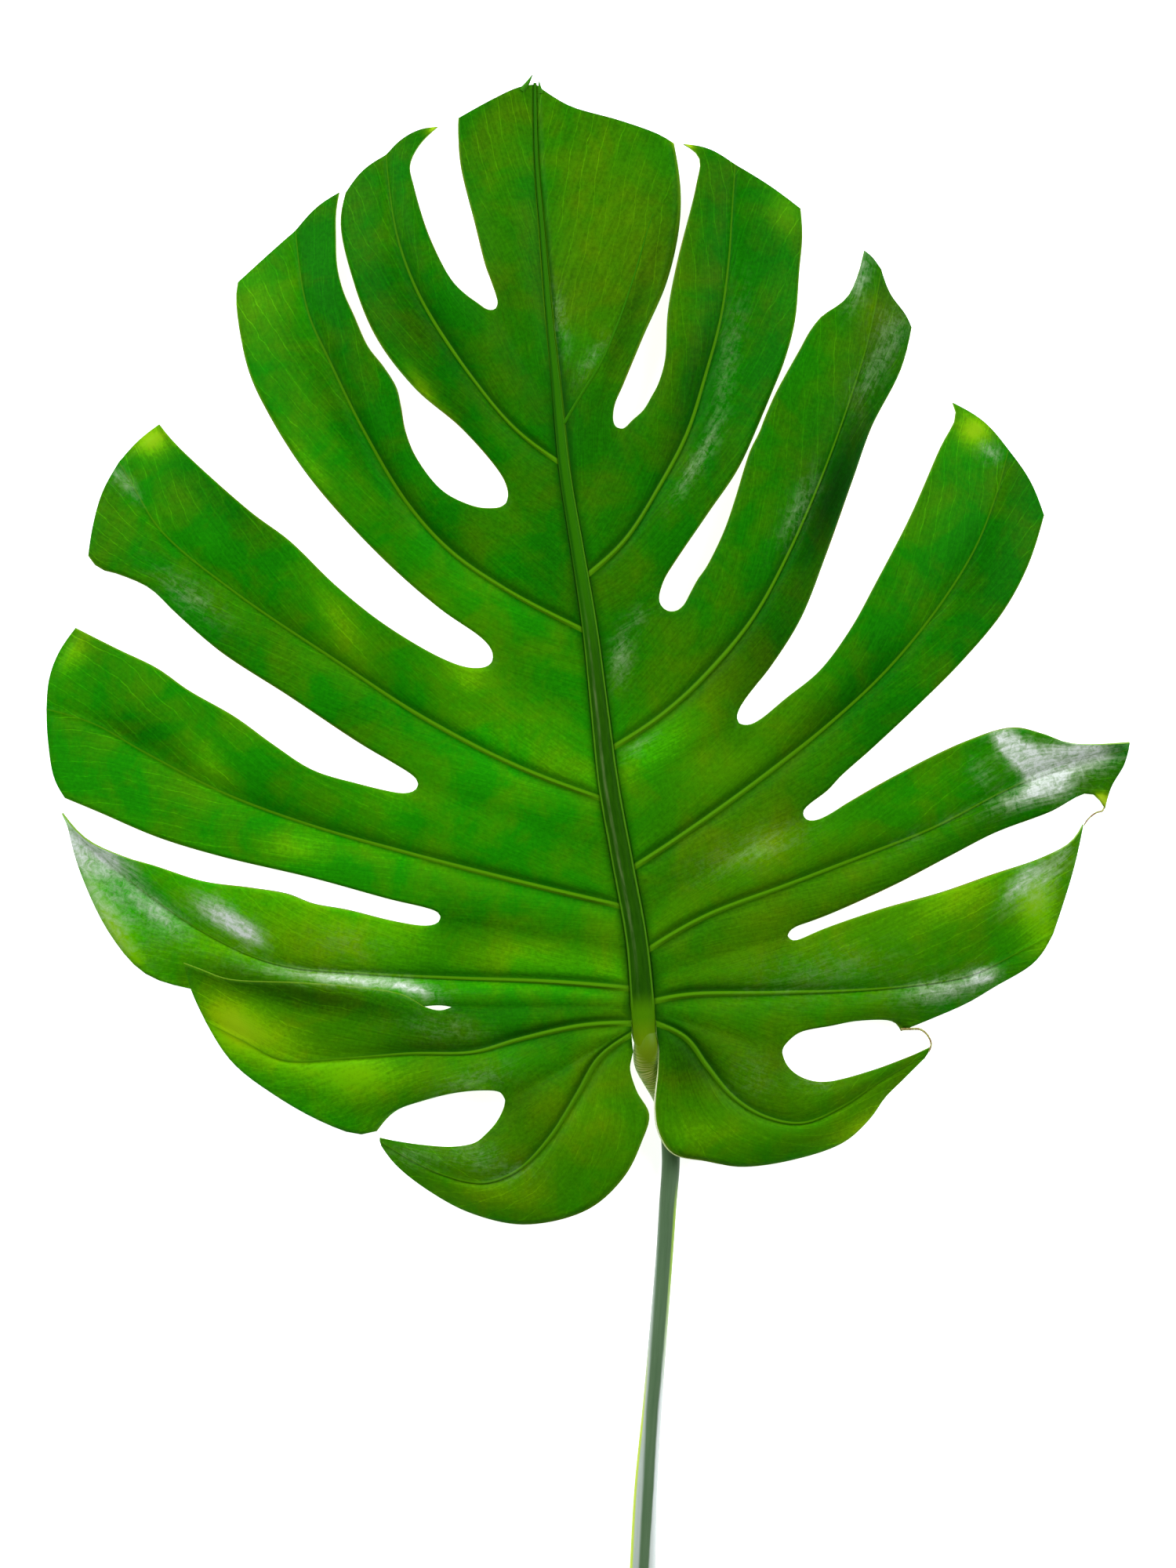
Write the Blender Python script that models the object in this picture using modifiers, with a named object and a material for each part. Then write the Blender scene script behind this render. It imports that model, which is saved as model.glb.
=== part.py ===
"""Cut monstera leaf lying face up: a lobed blade with its midrib and side veins, and the leaf stalk under it.

Plan points are in millimetres from the leaf's base, where the stalk meets the blade: X to the right of the
leaf as seen from above, Y towards its tip. Heights are those of the upper face above the surface it lies on.
"""

import bpy
import numpy as np

MM = 0.001

# Blade and rib thickness, in mm
BLADE_THICKNESS = 0.6
MIDRIB_THICKNESS = 4.0
VEIN_THICKNESS = 1.3

# How finely the blade is divided
STEPS_ALONG_LOBE = 16
ACROSS_HALF_LOBE = (0.0, 0.07, 0.36, 0.68, 1.0)
EVEN_STEPS_ACROSS = 8
MIDRIB_STEPS = 36
SAME_PLACE = 0.01

# Midrib: centre line from the base to the tip, its width, its height and the rise of its crest
MIDRIB = [(0.5, -8.5), (0, 2.5), (-2, 25), (-6.5, 50), (-11, 75), (-14, 100), (-17, 125), (-21, 150),
          (-25, 175), (-28, 205), (-30, 225), (-32, 250), (-34, 275), (-34.5, 299)]
MIDRIB_WIDTH_AT = [(-8.5, 8.4), (7.5, 7.0), (25, 5.0), (75, 4.2), (125, 3.2), (200, 2.0), (299, 0.8)]
MIDRIB_HEIGHT_AT = [(-8.5, 15), (25, 16), (75, 17), (125, 16), (175, 14), (225, 10.5), (275, 4.5), (299, 1.2)]
CREST_RISE = 0.1

# Gaps between the lobes. root: where the line from the gap's inner end meets the midrib. end: its inner end.
# tip_side: the gap's edge nearer the leaf's tip, from the end outwards. stalk_side: its edge nearer the stalk.
# The heights follow each edge at equal steps, after the height at the gap's inner end.
GAPS = {
    "A": dict(root=192.5, end=(-47.5, 226), end_height=12,
              tip_side=[(-46, 229), (-50, 239), (-53.5, 254), (-58, 272), (-59, 282), (-59, 288)],
              tip_heights=[9.5, 6.5, 3],
              stalk_side=[(-52, 227), (-61, 235), (-68, 249), (-73, 265), (-74.3, 272.5), (-71.3, 279),
                          (-65.5, 285)],
              stalk_heights=[12.5, 10, 5]),
    "B": dict(root=150.5, end=(-43.5, 164), end_height=15,
              tip_side=[(-45, 170), (-57.5, 184), (-72.5, 201), (-85, 217.5), (-93, 237.5), (-96.5, 254),
                        (-95, 264)],
              tip_heights=[13.5, 9.5, 4],
              stalk_side=[(-52.5, 163), (-63.5, 168), (-72, 178.5), (-75.5, 187), (-77, 195),
                          (-78.5, 201), (-82.5, 207.5), (-87.5, 214), (-92, 224), (-95.5, 232),
                          (-97.5, 240), (-98, 250), (-98, 257.5), (-97, 264)],
              stalk_heights=[15, 12.5, 5]),
    "C": dict(root=97.0, end=(-48, 113), end_height=15,
              tip_side=[(-50, 119.5), (-65, 131), (-85, 149), (-106, 172.5), (-119, 192.5),
                        (-126, 207.5), (-130, 229), (-129.5, 235.5)],
              tip_heights=[13, 8.5, 3],
              stalk_side=[(-54, 111.5), (-65, 115.5), (-82.5, 126), (-97.5, 138), (-112.5, 152.5),
                          (-124, 161), (-139, 174), (-150, 184.5), (-154.5, 190)],
              stalk_heights=[15, 11.5, 4.5]),
    "D": dict(root=53.0, end=(-71.5, 74), end_height=14,
              tip_side=[(-75.5, 79), (-90, 88), (-112.5, 103), (-135, 117.5), (-149, 129.5),
                        (-157.5, 137.5), (-167.5, 142), (-174, 144), (-177.5, 148)],
              tip_heights=[12.5, 8.5, 2],
              stalk_side=[(-77, 72), (-90, 75), (-105, 79.5), (-117.5, 87.5), (-130, 96.5),
                          (-145, 105), (-155, 112), (-167.5, 118), (-181.5, 125)],
              stalk_heights=[13, 8.5, 2.2]),
    "E": dict(root=23.0, end=(-64, 33), end_height=13.5,
              tip_side=[(-68, 36), (-80, 38), (-105, 45), (-135, 52), (-155, 58), (-174, 66),
                        (-185, 70.5)],
              tip_heights=[11, 7, 1.6],
              stalk_side=[(-67.5, 30), (-80, 32), (-94, 35), (-105, 37), (-113, 40), (-125, 42),
                          (-140, 44), (-156, 49), (-165, 51.5), (-177.5, 57), (-185.5, 65.5)],
              stalk_heights=[12.5, 10, 6.5]),
    "F": dict(root=4.75, end=(-61, 4), end_height=11,
              tip_side=[(-65, 4.5), (-80, 3), (-105, 3.5), (-127.5, 6), (-145, 9.5)],
              tip_heights=[7, 4, 2],
              stalk_side=[(-64.5, 3), (-69, 4), (-76, 8), (-90, 10.5), (-110, 12), (-132.5, 13),
                          (-141, 16), (-146.5, 18)],
              stalk_heights=[13, 11.5, 8]),
    "G": dict(root=-2.75, end=(-44, -25), end_height=13,
              tip_side=[(-46, -23), (-57.5, -23), (-70, -26), (-79, -29.5), (-85, -36)],
              tip_heights=[11.5, 8, 4],
              stalk_side=[(-46, -30), (-52, -37), (-57.5, -40), (-70, -40), (-84, -38)],
              stalk_heights=[11.5, 9, 6.5]),
    "H": dict(root=-6.5, end=(-4, -10.5), end_height=14.5,
              tip_side=[(-4.5, -14.5), (-2, -22.5), (2, -30), (-0.5, -39), (-6, -50), (-17.5, -60.5),
                        (-37.5, -65.5), (-55, -62), (-69, -54.5), (-79, -46.5), (-83.5, -40.5)],
              tip_heights=[13, 9.5, 6, 6.5]),
    "a": dict(root=162.5, end=(-7.5, 188), end_height=14.5,
              tip_side=[(-10, 192.5), (-7, 201), (0, 217.5), (7.5, 235), (11.5, 252.5), (12, 266),
                        (10, 280)],
              tip_heights=[12, 7.5, 2.5],
              stalk_side=[(-3.5, 190.5), (2.5, 197), (7, 209.5), (8, 225), (11, 241), (17, 265.5),
                          (18, 275), (13, 279.5)],
              stalk_heights=[14.5, 11, 5]),
    "b": dict(root=113.5, end=(6.5, 131), end_height=15,
              tip_side=[(5, 136), (10, 145.5), (20.5, 161), (30, 175), (37, 190), (41, 199.5),
                        (45, 209.5), (48.5, 222.5), (50, 239), (51, 250), (50.5, 259)],
              tip_heights=[13.5, 9, 3.5],
              stalk_side=[(10.5, 130.5), (19, 142), (25.5, 155), (29, 165), (32, 175), (34, 181),
                          (37, 187), (38.5, 191), (42, 199), (45.5, 205.5), (50, 213.5), (53, 219),
                          (57, 224), (61.5, 227), (65, 230), (68, 236), (70.5, 245)],
              stalk_heights=[15.5, 13, 9.5]),
    "c": dict(root=67.0, end=(30.5, 94.5), end_height=15,
              tip_side=[(30, 99), (41, 113), (50, 127.5), (58, 147.5), (67, 172.5), (73, 189),
                        (82.5, 207.5), (86, 221)],
              tip_heights=[12, 7.5, 3.5],
              stalk_side=[(34.5, 94), (45, 102), (56, 111), (66, 124.5), (74, 139), (85, 160),
                          (95, 182.5), (100, 192.5), (99, 197)],
              stalk_heights=[14.5, 11, 4]),
    "d": dict(root=35.5, end=(51, 65), end_height=14,
              tip_side=[(52.5, 69.5), (60.5, 75.5), (72.5, 86), (87.5, 100), (102.5, 115), (115, 130),
                        (123, 144.5), (128.5, 161)],
              tip_heights=[12, 8, 2],
              stalk_side=[(55, 64), (65, 69), (80, 77.5), (102.5, 88.5), (117.5, 93), (127.5, 91),
                          (136, 88), (155.5, 88)],
              stalk_heights=[13.5, 11.5, 6]),
    "e": dict(root=14.25, end=(46, 27), end_height=13,
              tip_side=[(48.5, 29.5), (60, 33.5), (80, 43), (97.5, 52), (112.5, 59.5), (130, 66),
                        (143, 72), (148, 67)],
              tip_heights=[11, 7, 2],
              stalk_side=[(48.5, 25.5), (57.5, 29), (75, 35), (95, 40.5), (111, 46), (127.5, 51.5),
                          (137, 56.5), (141, 62)],
              stalk_heights=[12, 9, 3]),
    "f": dict(root=2.5, end=(44.5, -10), end_height=13,
              tip_side=[(46, -6), (50.5, -3.5), (60, -2), (69, -0.5), (80, -1), (82.5, -4)],
              tip_heights=[11.5, 8.5, 4.5],
              stalk_side=[(46, -14), (54, -19), (60, -19.5), (72.5, -16.5), (85, -12), (92, -9)],
              stalk_heights=[12, 9.5, 6.5]),
    "h": dict(root=-5.0, end=(6, -9), end_height=14.5,
              tip_side=[(5, -16), (4, -27.5), (5, -36), (9.5, -42.5), (20, -45), (31, -47),
                        (47.5, -45), (64, -39.5), (72.5, -32), (77.5, -25), (82.5, -20), (90, -12.5)],
              tip_heights=[12.5, 8.5, 6, 6.5]),
}

# Side lobes, named from the tip down each side. above and below: their gaps. vein: from the midrib outwards.
# Between the vein's end and the two corners the outer rim goes through rim_above and rim_below.
LOBES = {
    "L1": dict(side=-1, above="A", below="B", heights=[13.5, 11, 5.5],
               vein=[(-26.5, 177), (-41, 188), (-55.5, 205.5), (-69, 226), (-75, 239), (-79, 252.5),
                     (-82, 276)],
               rim_above=[(-77, 281), (-71.5, 284)], rim_below=[(-89.5, 271)]),
    "L2": dict(side=-1, above="B", below="C", heights=[13, 10.5, 4],
               vein=[(-18.5, 123.5), (-42.5, 136), (-61, 148.5), (-75, 164), (-89, 187.5),
                     (-100, 210), (-107, 226), (-111, 252)],
               rim_above=[(-104, 259.5)], rim_below=[(-119, 245)]),
    "L3": dict(side=-1, above="C", below="D", heights=[12.5, 9, 3.5],
               vein=[(-13.5, 70), (-40, 80.5), (-70, 96), (-97.5, 114), (-130, 136), (-154, 156),
                     (-163, 170.5), (-167.5, 178)],
               rim_above=[(-161, 185)], rim_below=[(-173, 168), (-176, 157.5)]),
    "L4": dict(side=-1, above="D", below="E", heights=[11.5, 7, 0.7],
               vein=[(-8.5, 36), (-40, 44), (-75, 53), (-105, 61.5), (-132.5, 71.5), (-160, 85.5),
                     (-175, 94), (-191, 99)],
               rim_above=[(-190, 109), (-187, 117)], rim_below=[(-190.5, 89), (-188.5, 77)]),
    "L5": dict(side=-1, above="E", below="F", heights=[9, 5.5, 3.5],
               vein=[(-3.5, 10), (-30, 12), (-60, 13), (-90, 14.5), (-117.5, 17.5), (-137.5, 26),
                     (-160, 41), (-184, 61.5)],
               rim_above=[], rim_below=[(-180, 47), (-170.5, 27), (-159.5, 14.5)]),
    "L6": dict(side=-1, above="F", below="G", heights=[12, 10, 6.5],
               vein=[(-3, -1), (-20, -2), (-40, -6.5), (-54, -10.5), (-75, -11), (-95, -12.5),
                     (-115, -13), (-127.5, -7), (-139.5, -1)],
               rim_above=[(-144, 9)],
               rim_below=[(-131, -14), (-117.5, -24.5), (-102.5, -33), (-91, -37)]),
    "L7": dict(side=-1, above="G", below="H", heights=[13.5, 11, 6.5],
               vein=[(-3, -4.5), (-14, -12), (-21, -24), (-30, -38), (-40, -48), (-51, -52), (-65, -49),
                     (-84, -39)],
               rim_above=[], rim_below=[]),
    "R1": dict(side=1, above="a", below="b", heights=[14, 10.5, 5],
               vein=[(-17, 141), (-6, 152), (5, 169), (14, 186), (20, 205), (25, 224), (27.5, 242.5),
                     (28.5, 257.5), (29.5, 273)],
               rim_above=[(21, 278)], rim_below=[(41, 266)]),
    "R2": dict(side=1, above="b", below="c", heights=[14.5, 12.5, 9],
               vein=[(-9.5, 86), (5, 96), (20, 109.5), (35, 127.5), (46, 147.5), (57.5, 174),
                     (66.5, 199), (72, 217.5), (76, 239)],
               rim_above=[(73, 243)], rim_below=[(79, 231.5), (84, 225)]),
    "R3": dict(side=1, above="c", below="d", heights=[13, 9, 3],
               vein=[(-5, 48), (10, 57), (32.5, 73), (57.5, 92.5), (77.5, 111), (94, 131), (106, 150),
                     (112.5, 166), (117, 182)],
               rim_above=[(109, 191)], rim_below=[(124, 172)]),
    "R4": dict(side=1, above="d", below="e", heights=[12, 9, 3],
               vein=[(0, 22), (20, 33), (45, 42.5), (70, 52), (92.5, 61), (120, 75), (140, 82),
                     (155.5, 86)],
               rim_above=[], rim_below=[(154, 81), (150, 74)]),
    "R5": dict(side=1, above="e", below="f", heights=[12, 7.5, 1.2],
               vein=[(3.5, 6), (15, 8), (40, 8.5), (65, 9), (85, 10.5), (105, 14), (120, 21),
                     (131.5, 27)],
               rim_above=[(138, 48)], rim_below=[(125.5, 18), (112.5, 10), (104, 5), (92.5, 0)]),
    "R6": dict(side=1, above="f", below="h", heights=[13, 10.5, 6.5],
               vein=[(4.5, -1), (14, -6), (20.5, -15), (29, -25), (39, -31), (51, -33), (64, -27.5),
                     (76, -19.5), (91, -11)],
               rim_above=[], rim_below=[]),
}

# The end lobe's rim, from the tip out to its two corners
END_RIM = {-1: [(-40, 298), (-47.5, 294.5)], 1: [(-30, 296), (-23, 292), (-7.5, 287.5), (5, 283)]}

# How far each half lobe swells up between its vein and its edge
SWELL = 1.6

# Leaf stalk: places along its centre line with radius and, where it is off the surface, centre height
STALK = [(1, -8.4, 3.5, 11.2), (1.4, -11, 4.1, 10.3), (2.2, -14, 4.0, 9.2), (4, -19, 3.6, 7.2),
         (6.3, -25, 3.2, 5.3), (8.3, -34, 3.0, 3.8), (9, -45, 2.9, None), (8, -60, 2.8, None),
         (7, -75, 2.75, None), (5, -100, 2.9, None), (3, -125, 3.15, None), (1, -150, 3.7, None),
         (0, -175, 4.15, None), (-1, -200, 4.3, None)]
STALK_STEPS = 44


def smooth_line(points, steps):
    """Points at equal lengths along a smooth curve through the given ones, in any number of dimensions."""
    p = np.array(points, float)
    if len(p) == 2:
        return p[0] + np.linspace(0, 1, steps + 1)[:, None] * (p[1] - p[0])
    span = np.linalg.norm(np.diff(p[:, :2], axis=0), axis=1) ** 0.5
    slope = np.diff(p, axis=0) / span[:, None]
    inner = (slope[:-1] * span[1:, None] + slope[1:] * span[:-1, None]) / (span[:-1] + span[1:])[:, None]
    tangent = np.vstack([1.5 * slope[0] - 0.5 * inner[0], inner, 1.5 * slope[-1] - 0.5 * inner[-1]])
    w = np.linspace(0, 1, 25)[:, None, None]
    h = span[None, :, None]
    fine = ((2 * w**3 - 3 * w**2 + 1) * p[:-1] + (w**3 - 2 * w**2 + w) * h * tangent[:-1]
            + (3 * w**2 - 2 * w**3) * p[1:] + (w**3 - w**2) * h * tangent[1:])
    fine = np.vstack([fine[:-1].transpose(1, 0, 2).reshape(-1, p.shape[1]), p[-1:]])
    length = np.concatenate([[0], np.cumsum(np.linalg.norm(np.diff(fine[:, :2], axis=0), axis=1))])
    wanted = np.linspace(0, length[-1], steps + 1)
    return np.column_stack([np.interp(wanted, length, column) for column in fine.T])


def with_heights(plan, heights):
    """The plan points as 3-D points, with the heights spread evenly along them."""
    even = np.column_stack([np.linspace(0, 1, len(heights)), np.zeros(len(heights)), heights])
    z = smooth_line(even, 60)[:, 2] if len(heights) > 2 else np.array(heights, float)
    return np.column_stack([plan, np.interp(np.linspace(0, 1, len(plan)), np.linspace(0, 1, len(z)), z)])


def at(table, place):
    """The value of a table of (place, value) rows at a place."""
    places, values = zip(*table)
    return np.interp(place, places, values)


MIDRIB_LINE = smooth_line(MIDRIB, 200)


def midrib_point(y, side):
    """A point on the midrib: on its left border for side -1, its crest for 0, its right border for 1."""
    x = np.interp(y, MIDRIB_LINE[:, 1], MIDRIB_LINE[:, 0]) + side * at(MIDRIB_WIDTH_AT, y) / 2
    rise = CREST_RISE * at(MIDRIB_WIDTH_AT, y) if side == 0 else 0
    return np.array([x, y, at(MIDRIB_HEIGHT_AT, y) + rise])


def gap_edge(name, which):
    """The plan points of one edge of a gap, from its inner end."""
    gap = GAPS[name]
    return [gap["end"]] + gap[which + "_side"]


def line_length(points):
    return np.linalg.norm(np.diff(np.array(points, float), axis=0), axis=1).sum()


def root_steps(name, side):
    """How many of a lobe's steps lie between the midrib and the gap's inner end."""
    gap = GAPS[name]
    root = np.linalg.norm(midrib_point(gap["root"], side)[:2] - gap["end"])
    edges = [line_length(gap_edge(name, which)) for which in ("tip", "stalk") if which + "_side" in gap]
    return max(1, round(STEPS_ALONG_LOBE * root / (root + sum(edges) / len(edges))))


def root_line(name, side):
    """The line in the blade from the midrib to a gap's inner end, which its two lobes share."""
    gap = GAPS[name]
    start = midrib_point(gap["root"], side)
    end = np.array([*gap["end"], gap["end_height"]])
    return start + np.linspace(0, 1, root_steps(name, side) + 1)[:, None] * (end - start)


def free_edge(name, which, steps):
    """One edge of a gap as 3-D points."""
    gap = GAPS[name]
    return with_heights(smooth_line(gap_edge(name, which), steps), [gap["end_height"]] + gap[which + "_heights"])


def rim(points, start, end, steps):
    """The outer rim from one 3-D point through plan points to another."""
    plan = smooth_line([start[:2], *points, end[:2]], steps)
    return np.column_stack([plan, np.linspace(start[2], end[2], steps + 1)])


def relaxed(grid, rounds=240):
    """The grid with its inner plan points moved so that its lines run smoothly and no cell turns over.

    Each point moves to where the grid's lines would be level lines of a smooth field between its edges.
    """
    plan = grid[..., :2].copy()
    for _ in range(rounds):
        along = (plan[2:, 1:-1] - plan[:-2, 1:-1]) / 2
        across = (plan[1:-1, 2:] - plan[1:-1, :-2]) / 2
        wide, skew, long = ((p * q).sum(-1, keepdims=True) + 1e-9
                            for p, q in ((across, across), (along, across), (along, along)))
        twist = (plan[2:, 2:] - plan[2:, :-2] - plan[:-2, 2:] + plan[:-2, :-2]) / 4
        plan[1:-1, 1:-1] = (wide * (plan[2:, 1:-1] + plan[:-2, 1:-1])
                            + long * (plan[1:-1, 2:] + plan[1:-1, :-2])
                            - 2 * skew * twist) / (2 * (wide + long))
    return np.concatenate([plan, grid[..., 2:]], axis=-1)


def resampled(grid, across):
    """The grid's rows read at other fractions of their way across."""
    even = np.linspace(0, 1, grid.shape[1])
    return np.stack([[np.interp(across, even, row[:, axis]) for row in grid] for axis in range(3)], axis=-1)


class Surface:
    """Points and triangles of the blade's upper face, with the thickness of the blade at each point."""

    def __init__(self):
        self.points = []
        self.thickness = []
        self.triangles = []
        self.index = {}

    def point(self, place, thickness=BLADE_THICKNESS):
        """The number of the point at a place: patches that meet share their points."""
        key = tuple(np.floor(place / SAME_PLACE + 0.31).astype(int))
        if key not in self.index:
            self.index[key] = len(self.points)
            self.points.append(place)
            self.thickness.append(thickness)
        number = self.index[key]
        self.thickness[number] = max(self.thickness[number], thickness)
        return number

    def triangle(self, a, b, c):
        """Adds a triangle that faces up."""
        p, q, r = (self.points[i][:2] for i in (a, b, c))
        turn = (q[0] - p[0]) * (r[1] - p[1]) - (q[1] - p[1]) * (r[0] - p[0])
        if len({a, b, c}) == 3:
            self.triangles.append((a, b, c) if turn > 0 else (a, c, b))

    def patch(self, inner, outer, near, far, across, inner_thickness):
        """A four-sided patch blended from its edges: inner and outer run along it, near and far join them.

        Between inner and outer it swells up, and inner may be a rib.
        """
        along = np.linspace(0, 1, len(inner))[:, None, None]
        even = np.linspace(0, 1, len(near))[None, :, None]
        ruled = (1 - even) * inner[:, None] + even * outer[:, None]
        crossed = (1 - along) * near[None] + along * far[None]
        corners = ((1 - along) * ((1 - even) * inner[0] + even * outer[0])
                   + along * ((1 - even) * inner[-1] + even * outer[-1]))
        grid = relaxed(ruled + crossed - corners)
        grid[..., 2] += SWELL * np.sin(np.pi * even[..., 0]) * np.sin(np.pi * along[..., 0]) ** 0.5
        grid = resampled(grid, across)
        number = np.empty(grid.shape[:2], int)
        for i, row in enumerate(grid):
            for j, place in enumerate(row):
                number[i, j] = self.point(place, inner_thickness[i] if j == 0 else BLADE_THICKNESS)
        for i in range(len(number) - 1):
            for j in range(len(number[0]) - 1):
                a, b, c, d = number[i, j], number[i + 1, j], number[i + 1, j + 1], number[i, j + 1]
                self.triangle(a, b, c)
                self.triangle(a, c, d)
        return number

    def strip(self, one, other):
        """Triangles between two lines of points that run the same way at their own spacing."""
        i = j = 0
        while i + 1 < len(one) or j + 1 < len(other):
            ahead = self.points[one[i + 1]][1] if i + 1 < len(one) else np.inf
            other_ahead = self.points[other[j + 1]][1] if j + 1 < len(other) else np.inf
            if ahead <= other_ahead:
                self.triangle(one[i], one[i + 1], other[j])
                i += 1
            else:
                self.triangle(one[i], other[j + 1], other[j])
                j += 1


def add_side_lobe(surface, borders, lobe):
    """A side lobe: two patches that meet at its vein."""
    side, steps = lobe["side"], STEPS_ALONG_LOBE
    start = midrib_point(lobe["vein"][0][1], side)
    vein = smooth_line([start[:2]] + lobe["vein"][1:], steps)
    vein = with_heights(vein, [start[2]] + lobe["heights"])
    thickness = np.linspace(VEIN_THICKNESS, BLADE_THICKNESS, steps + 1)
    for gap, which, through in (("above", "stalk", "rim_above"), ("below", "tip", "rim_below")):
        name = lobe[gap]
        root = root_line(name, side)
        edge = np.vstack([root, free_edge(name, which, steps - len(root) + 1)[1:]])
        places = np.linspace(start[1], GAPS[name]["root"], EVEN_STEPS_ACROSS + 1)
        near = np.array([midrib_point(y, side) for y in places])
        far = rim(lobe[through], vein[-1], edge[-1], EVEN_STEPS_ACROSS)
        number = surface.patch(vein, edge, near, far, ACROSS_HALF_LOBE, thickness)
        borders[side].extend(number[0])


def add_end_lobe(surface, borders, side, name):
    """One half of the lobe at the leaf's tip, from the midrib to its gap."""
    root = root_line(name, side)
    steps = len(root) - 1
    top = MIDRIB[-1][1]
    inner = np.array([midrib_point(y, side) for y in np.linspace(GAPS[name]["root"], top, STEPS_ALONG_LOBE + 1)])
    outer = free_edge(name, "tip", STEPS_ALONG_LOBE)
    far = rim(END_RIM[side], inner[-1], outer[-1], steps)
    thickness = np.full(STEPS_ALONG_LOBE + 1, BLADE_THICKNESS)
    number = surface.patch(inner, outer, root, far, np.linspace(0, 1, steps + 1), thickness)
    borders[side].extend(number[:, 0])


def add_midrib(surface, borders):
    """The midrib's raised crest, joined to the lobes on each side of it."""
    places = np.linspace(MIDRIB[0][1], MIDRIB[-1][1], MIDRIB_STEPS + 1)
    thickness = BLADE_THICKNESS + (MIDRIB_THICKNESS - BLADE_THICKNESS) * np.linspace(1, 0, len(places))
    crest = [surface.point(midrib_point(y, 0), t) for y, t in zip(places, thickness)]
    for numbers in borders.values():
        border = sorted(set(numbers), key=lambda number: surface.points[number][1])
        surface.strip(crest, border)


def plant_material(name, colour, roughness):
    material = bpy.data.materials.new(name)
    material.use_nodes = True
    shader = material.node_tree.nodes["Principled BSDF"]
    shader.inputs["Base Color"].default_value = (*colour, 1)
    shader.inputs["Roughness"].default_value = roughness
    shader.inputs["Metallic"].default_value = 0
    return material


def make_blade(collection):
    """The blade: its upper face, thickened downwards, most of all under the ribs."""
    surface = Surface()
    borders = {-1: [], 1: []}
    for lobe in LOBES.values():
        add_side_lobe(surface, borders, lobe)
    add_end_lobe(surface, borders, -1, "A")
    add_end_lobe(surface, borders, 1, "a")
    add_midrib(surface, borders)
    mesh = bpy.data.meshes.new("leaf_blade")
    mesh.from_pydata([tuple(place * MM) for place in surface.points], [], surface.triangles)
    mesh.shade_smooth()
    blade = bpy.data.objects.new("leaf_blade", mesh)
    collection.objects.link(blade)
    group = blade.vertex_groups.new(name="rib")
    for number, thickness in enumerate(surface.thickness):
        weight = (thickness - BLADE_THICKNESS) / (MIDRIB_THICKNESS - BLADE_THICKNESS)
        group.add([number], weight, "REPLACE")
    solidify = blade.modifiers.new("thickness", "SOLIDIFY")
    solidify.thickness = MIDRIB_THICKNESS * MM
    solidify.offset = -1
    solidify.vertex_group = "rib"
    solidify.thickness_vertex_group = BLADE_THICKNESS / MIDRIB_THICKNESS
    mesh.materials.append(plant_material("leaf green", (0.05, 0.19, 0.008), 0.35))
    return blade


def make_stalk(collection):
    """The stalk: a tapered tube from its swollen joint under the midrib, down and out along the surface."""
    rows = [(x, y, radius if height is None else height, radius) for x, y, radius, height in STALK]
    line = smooth_line(rows, STALK_STEPS)
    curve = bpy.data.curves.new("leaf_stalk", "CURVE")
    curve.dimensions = "3D"
    curve.bevel_depth = MM
    curve.bevel_resolution = 4
    curve.use_fill_caps = True
    spline = curve.splines.new("POLY")
    spline.points.add(len(line) - 1)
    for point, (x, y, z, radius) in zip(spline.points, line):
        point.co = (x * MM, y * MM, z * MM, 1)
        point.radius = radius
    spline.use_smooth = True
    stalk = bpy.data.objects.new("leaf_stalk", curve)
    collection.objects.link(stalk)
    curve.materials.append(plant_material("stalk green", (0.09, 0.17, 0.05), 0.45))
    return stalk


def centre_on_surface(pieces):
    """Puts the origin under the middle of the leaf's box, on the surface that the leaf lies on."""
    bpy.context.view_layer.update()
    graph = bpy.context.evaluated_depsgraph_get()
    corners = []
    for piece in pieces:
        mesh = piece.evaluated_get(graph).to_mesh()
        places = np.array([vertex.co for vertex in mesh.vertices])
        corners += [places.min(axis=0), places.max(axis=0)]
        piece.evaluated_get(graph).to_mesh_clear()
    low, high = np.min(corners, axis=0), np.max(corners, axis=0)
    for piece in pieces:
        piece.location = (-(low[0] + high[0]) / 2, -(low[1] + high[1]) / 2, -low[2])


def main():
    for old in list(bpy.data.objects):
        bpy.data.objects.remove(old, do_unlink=True)
    collection = bpy.data.collections.new("monstera leaf")
    bpy.context.scene.collection.children.link(collection)
    centre_on_surface([make_blade(collection), make_stalk(collection)])


main()
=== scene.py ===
"""Cut monstera leaf lying face up, built around its CAD solids: blade, midrib, stalk and dried threads.

Plan points are in millimetres from the leaf's base, X to the right of the leaf and Y towards its tip.
Heights are those of the upper face above the surface that the leaf lies on.
"""

import bpy
import numpy as np
from bpy.props import FloatProperty, IntProperty, PointerProperty
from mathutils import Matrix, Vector


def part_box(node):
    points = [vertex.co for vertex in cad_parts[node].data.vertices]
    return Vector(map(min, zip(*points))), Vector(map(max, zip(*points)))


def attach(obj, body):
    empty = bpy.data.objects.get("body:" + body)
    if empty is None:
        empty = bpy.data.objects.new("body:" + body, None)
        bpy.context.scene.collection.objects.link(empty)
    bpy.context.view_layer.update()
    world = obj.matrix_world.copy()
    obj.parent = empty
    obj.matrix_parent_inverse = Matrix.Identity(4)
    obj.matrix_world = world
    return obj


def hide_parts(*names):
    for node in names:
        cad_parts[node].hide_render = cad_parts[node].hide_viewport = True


bl_info = {
    "name": "Monstera leaf",
    "version": (1, 0, 0),
    "blender": (4, 5, 0),
    "location": "View3D > Sidebar > Leaf",
    "description": "Builds a cut monstera leaf with its veins, stalk and studio",
    "category": "Object",
}

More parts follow.
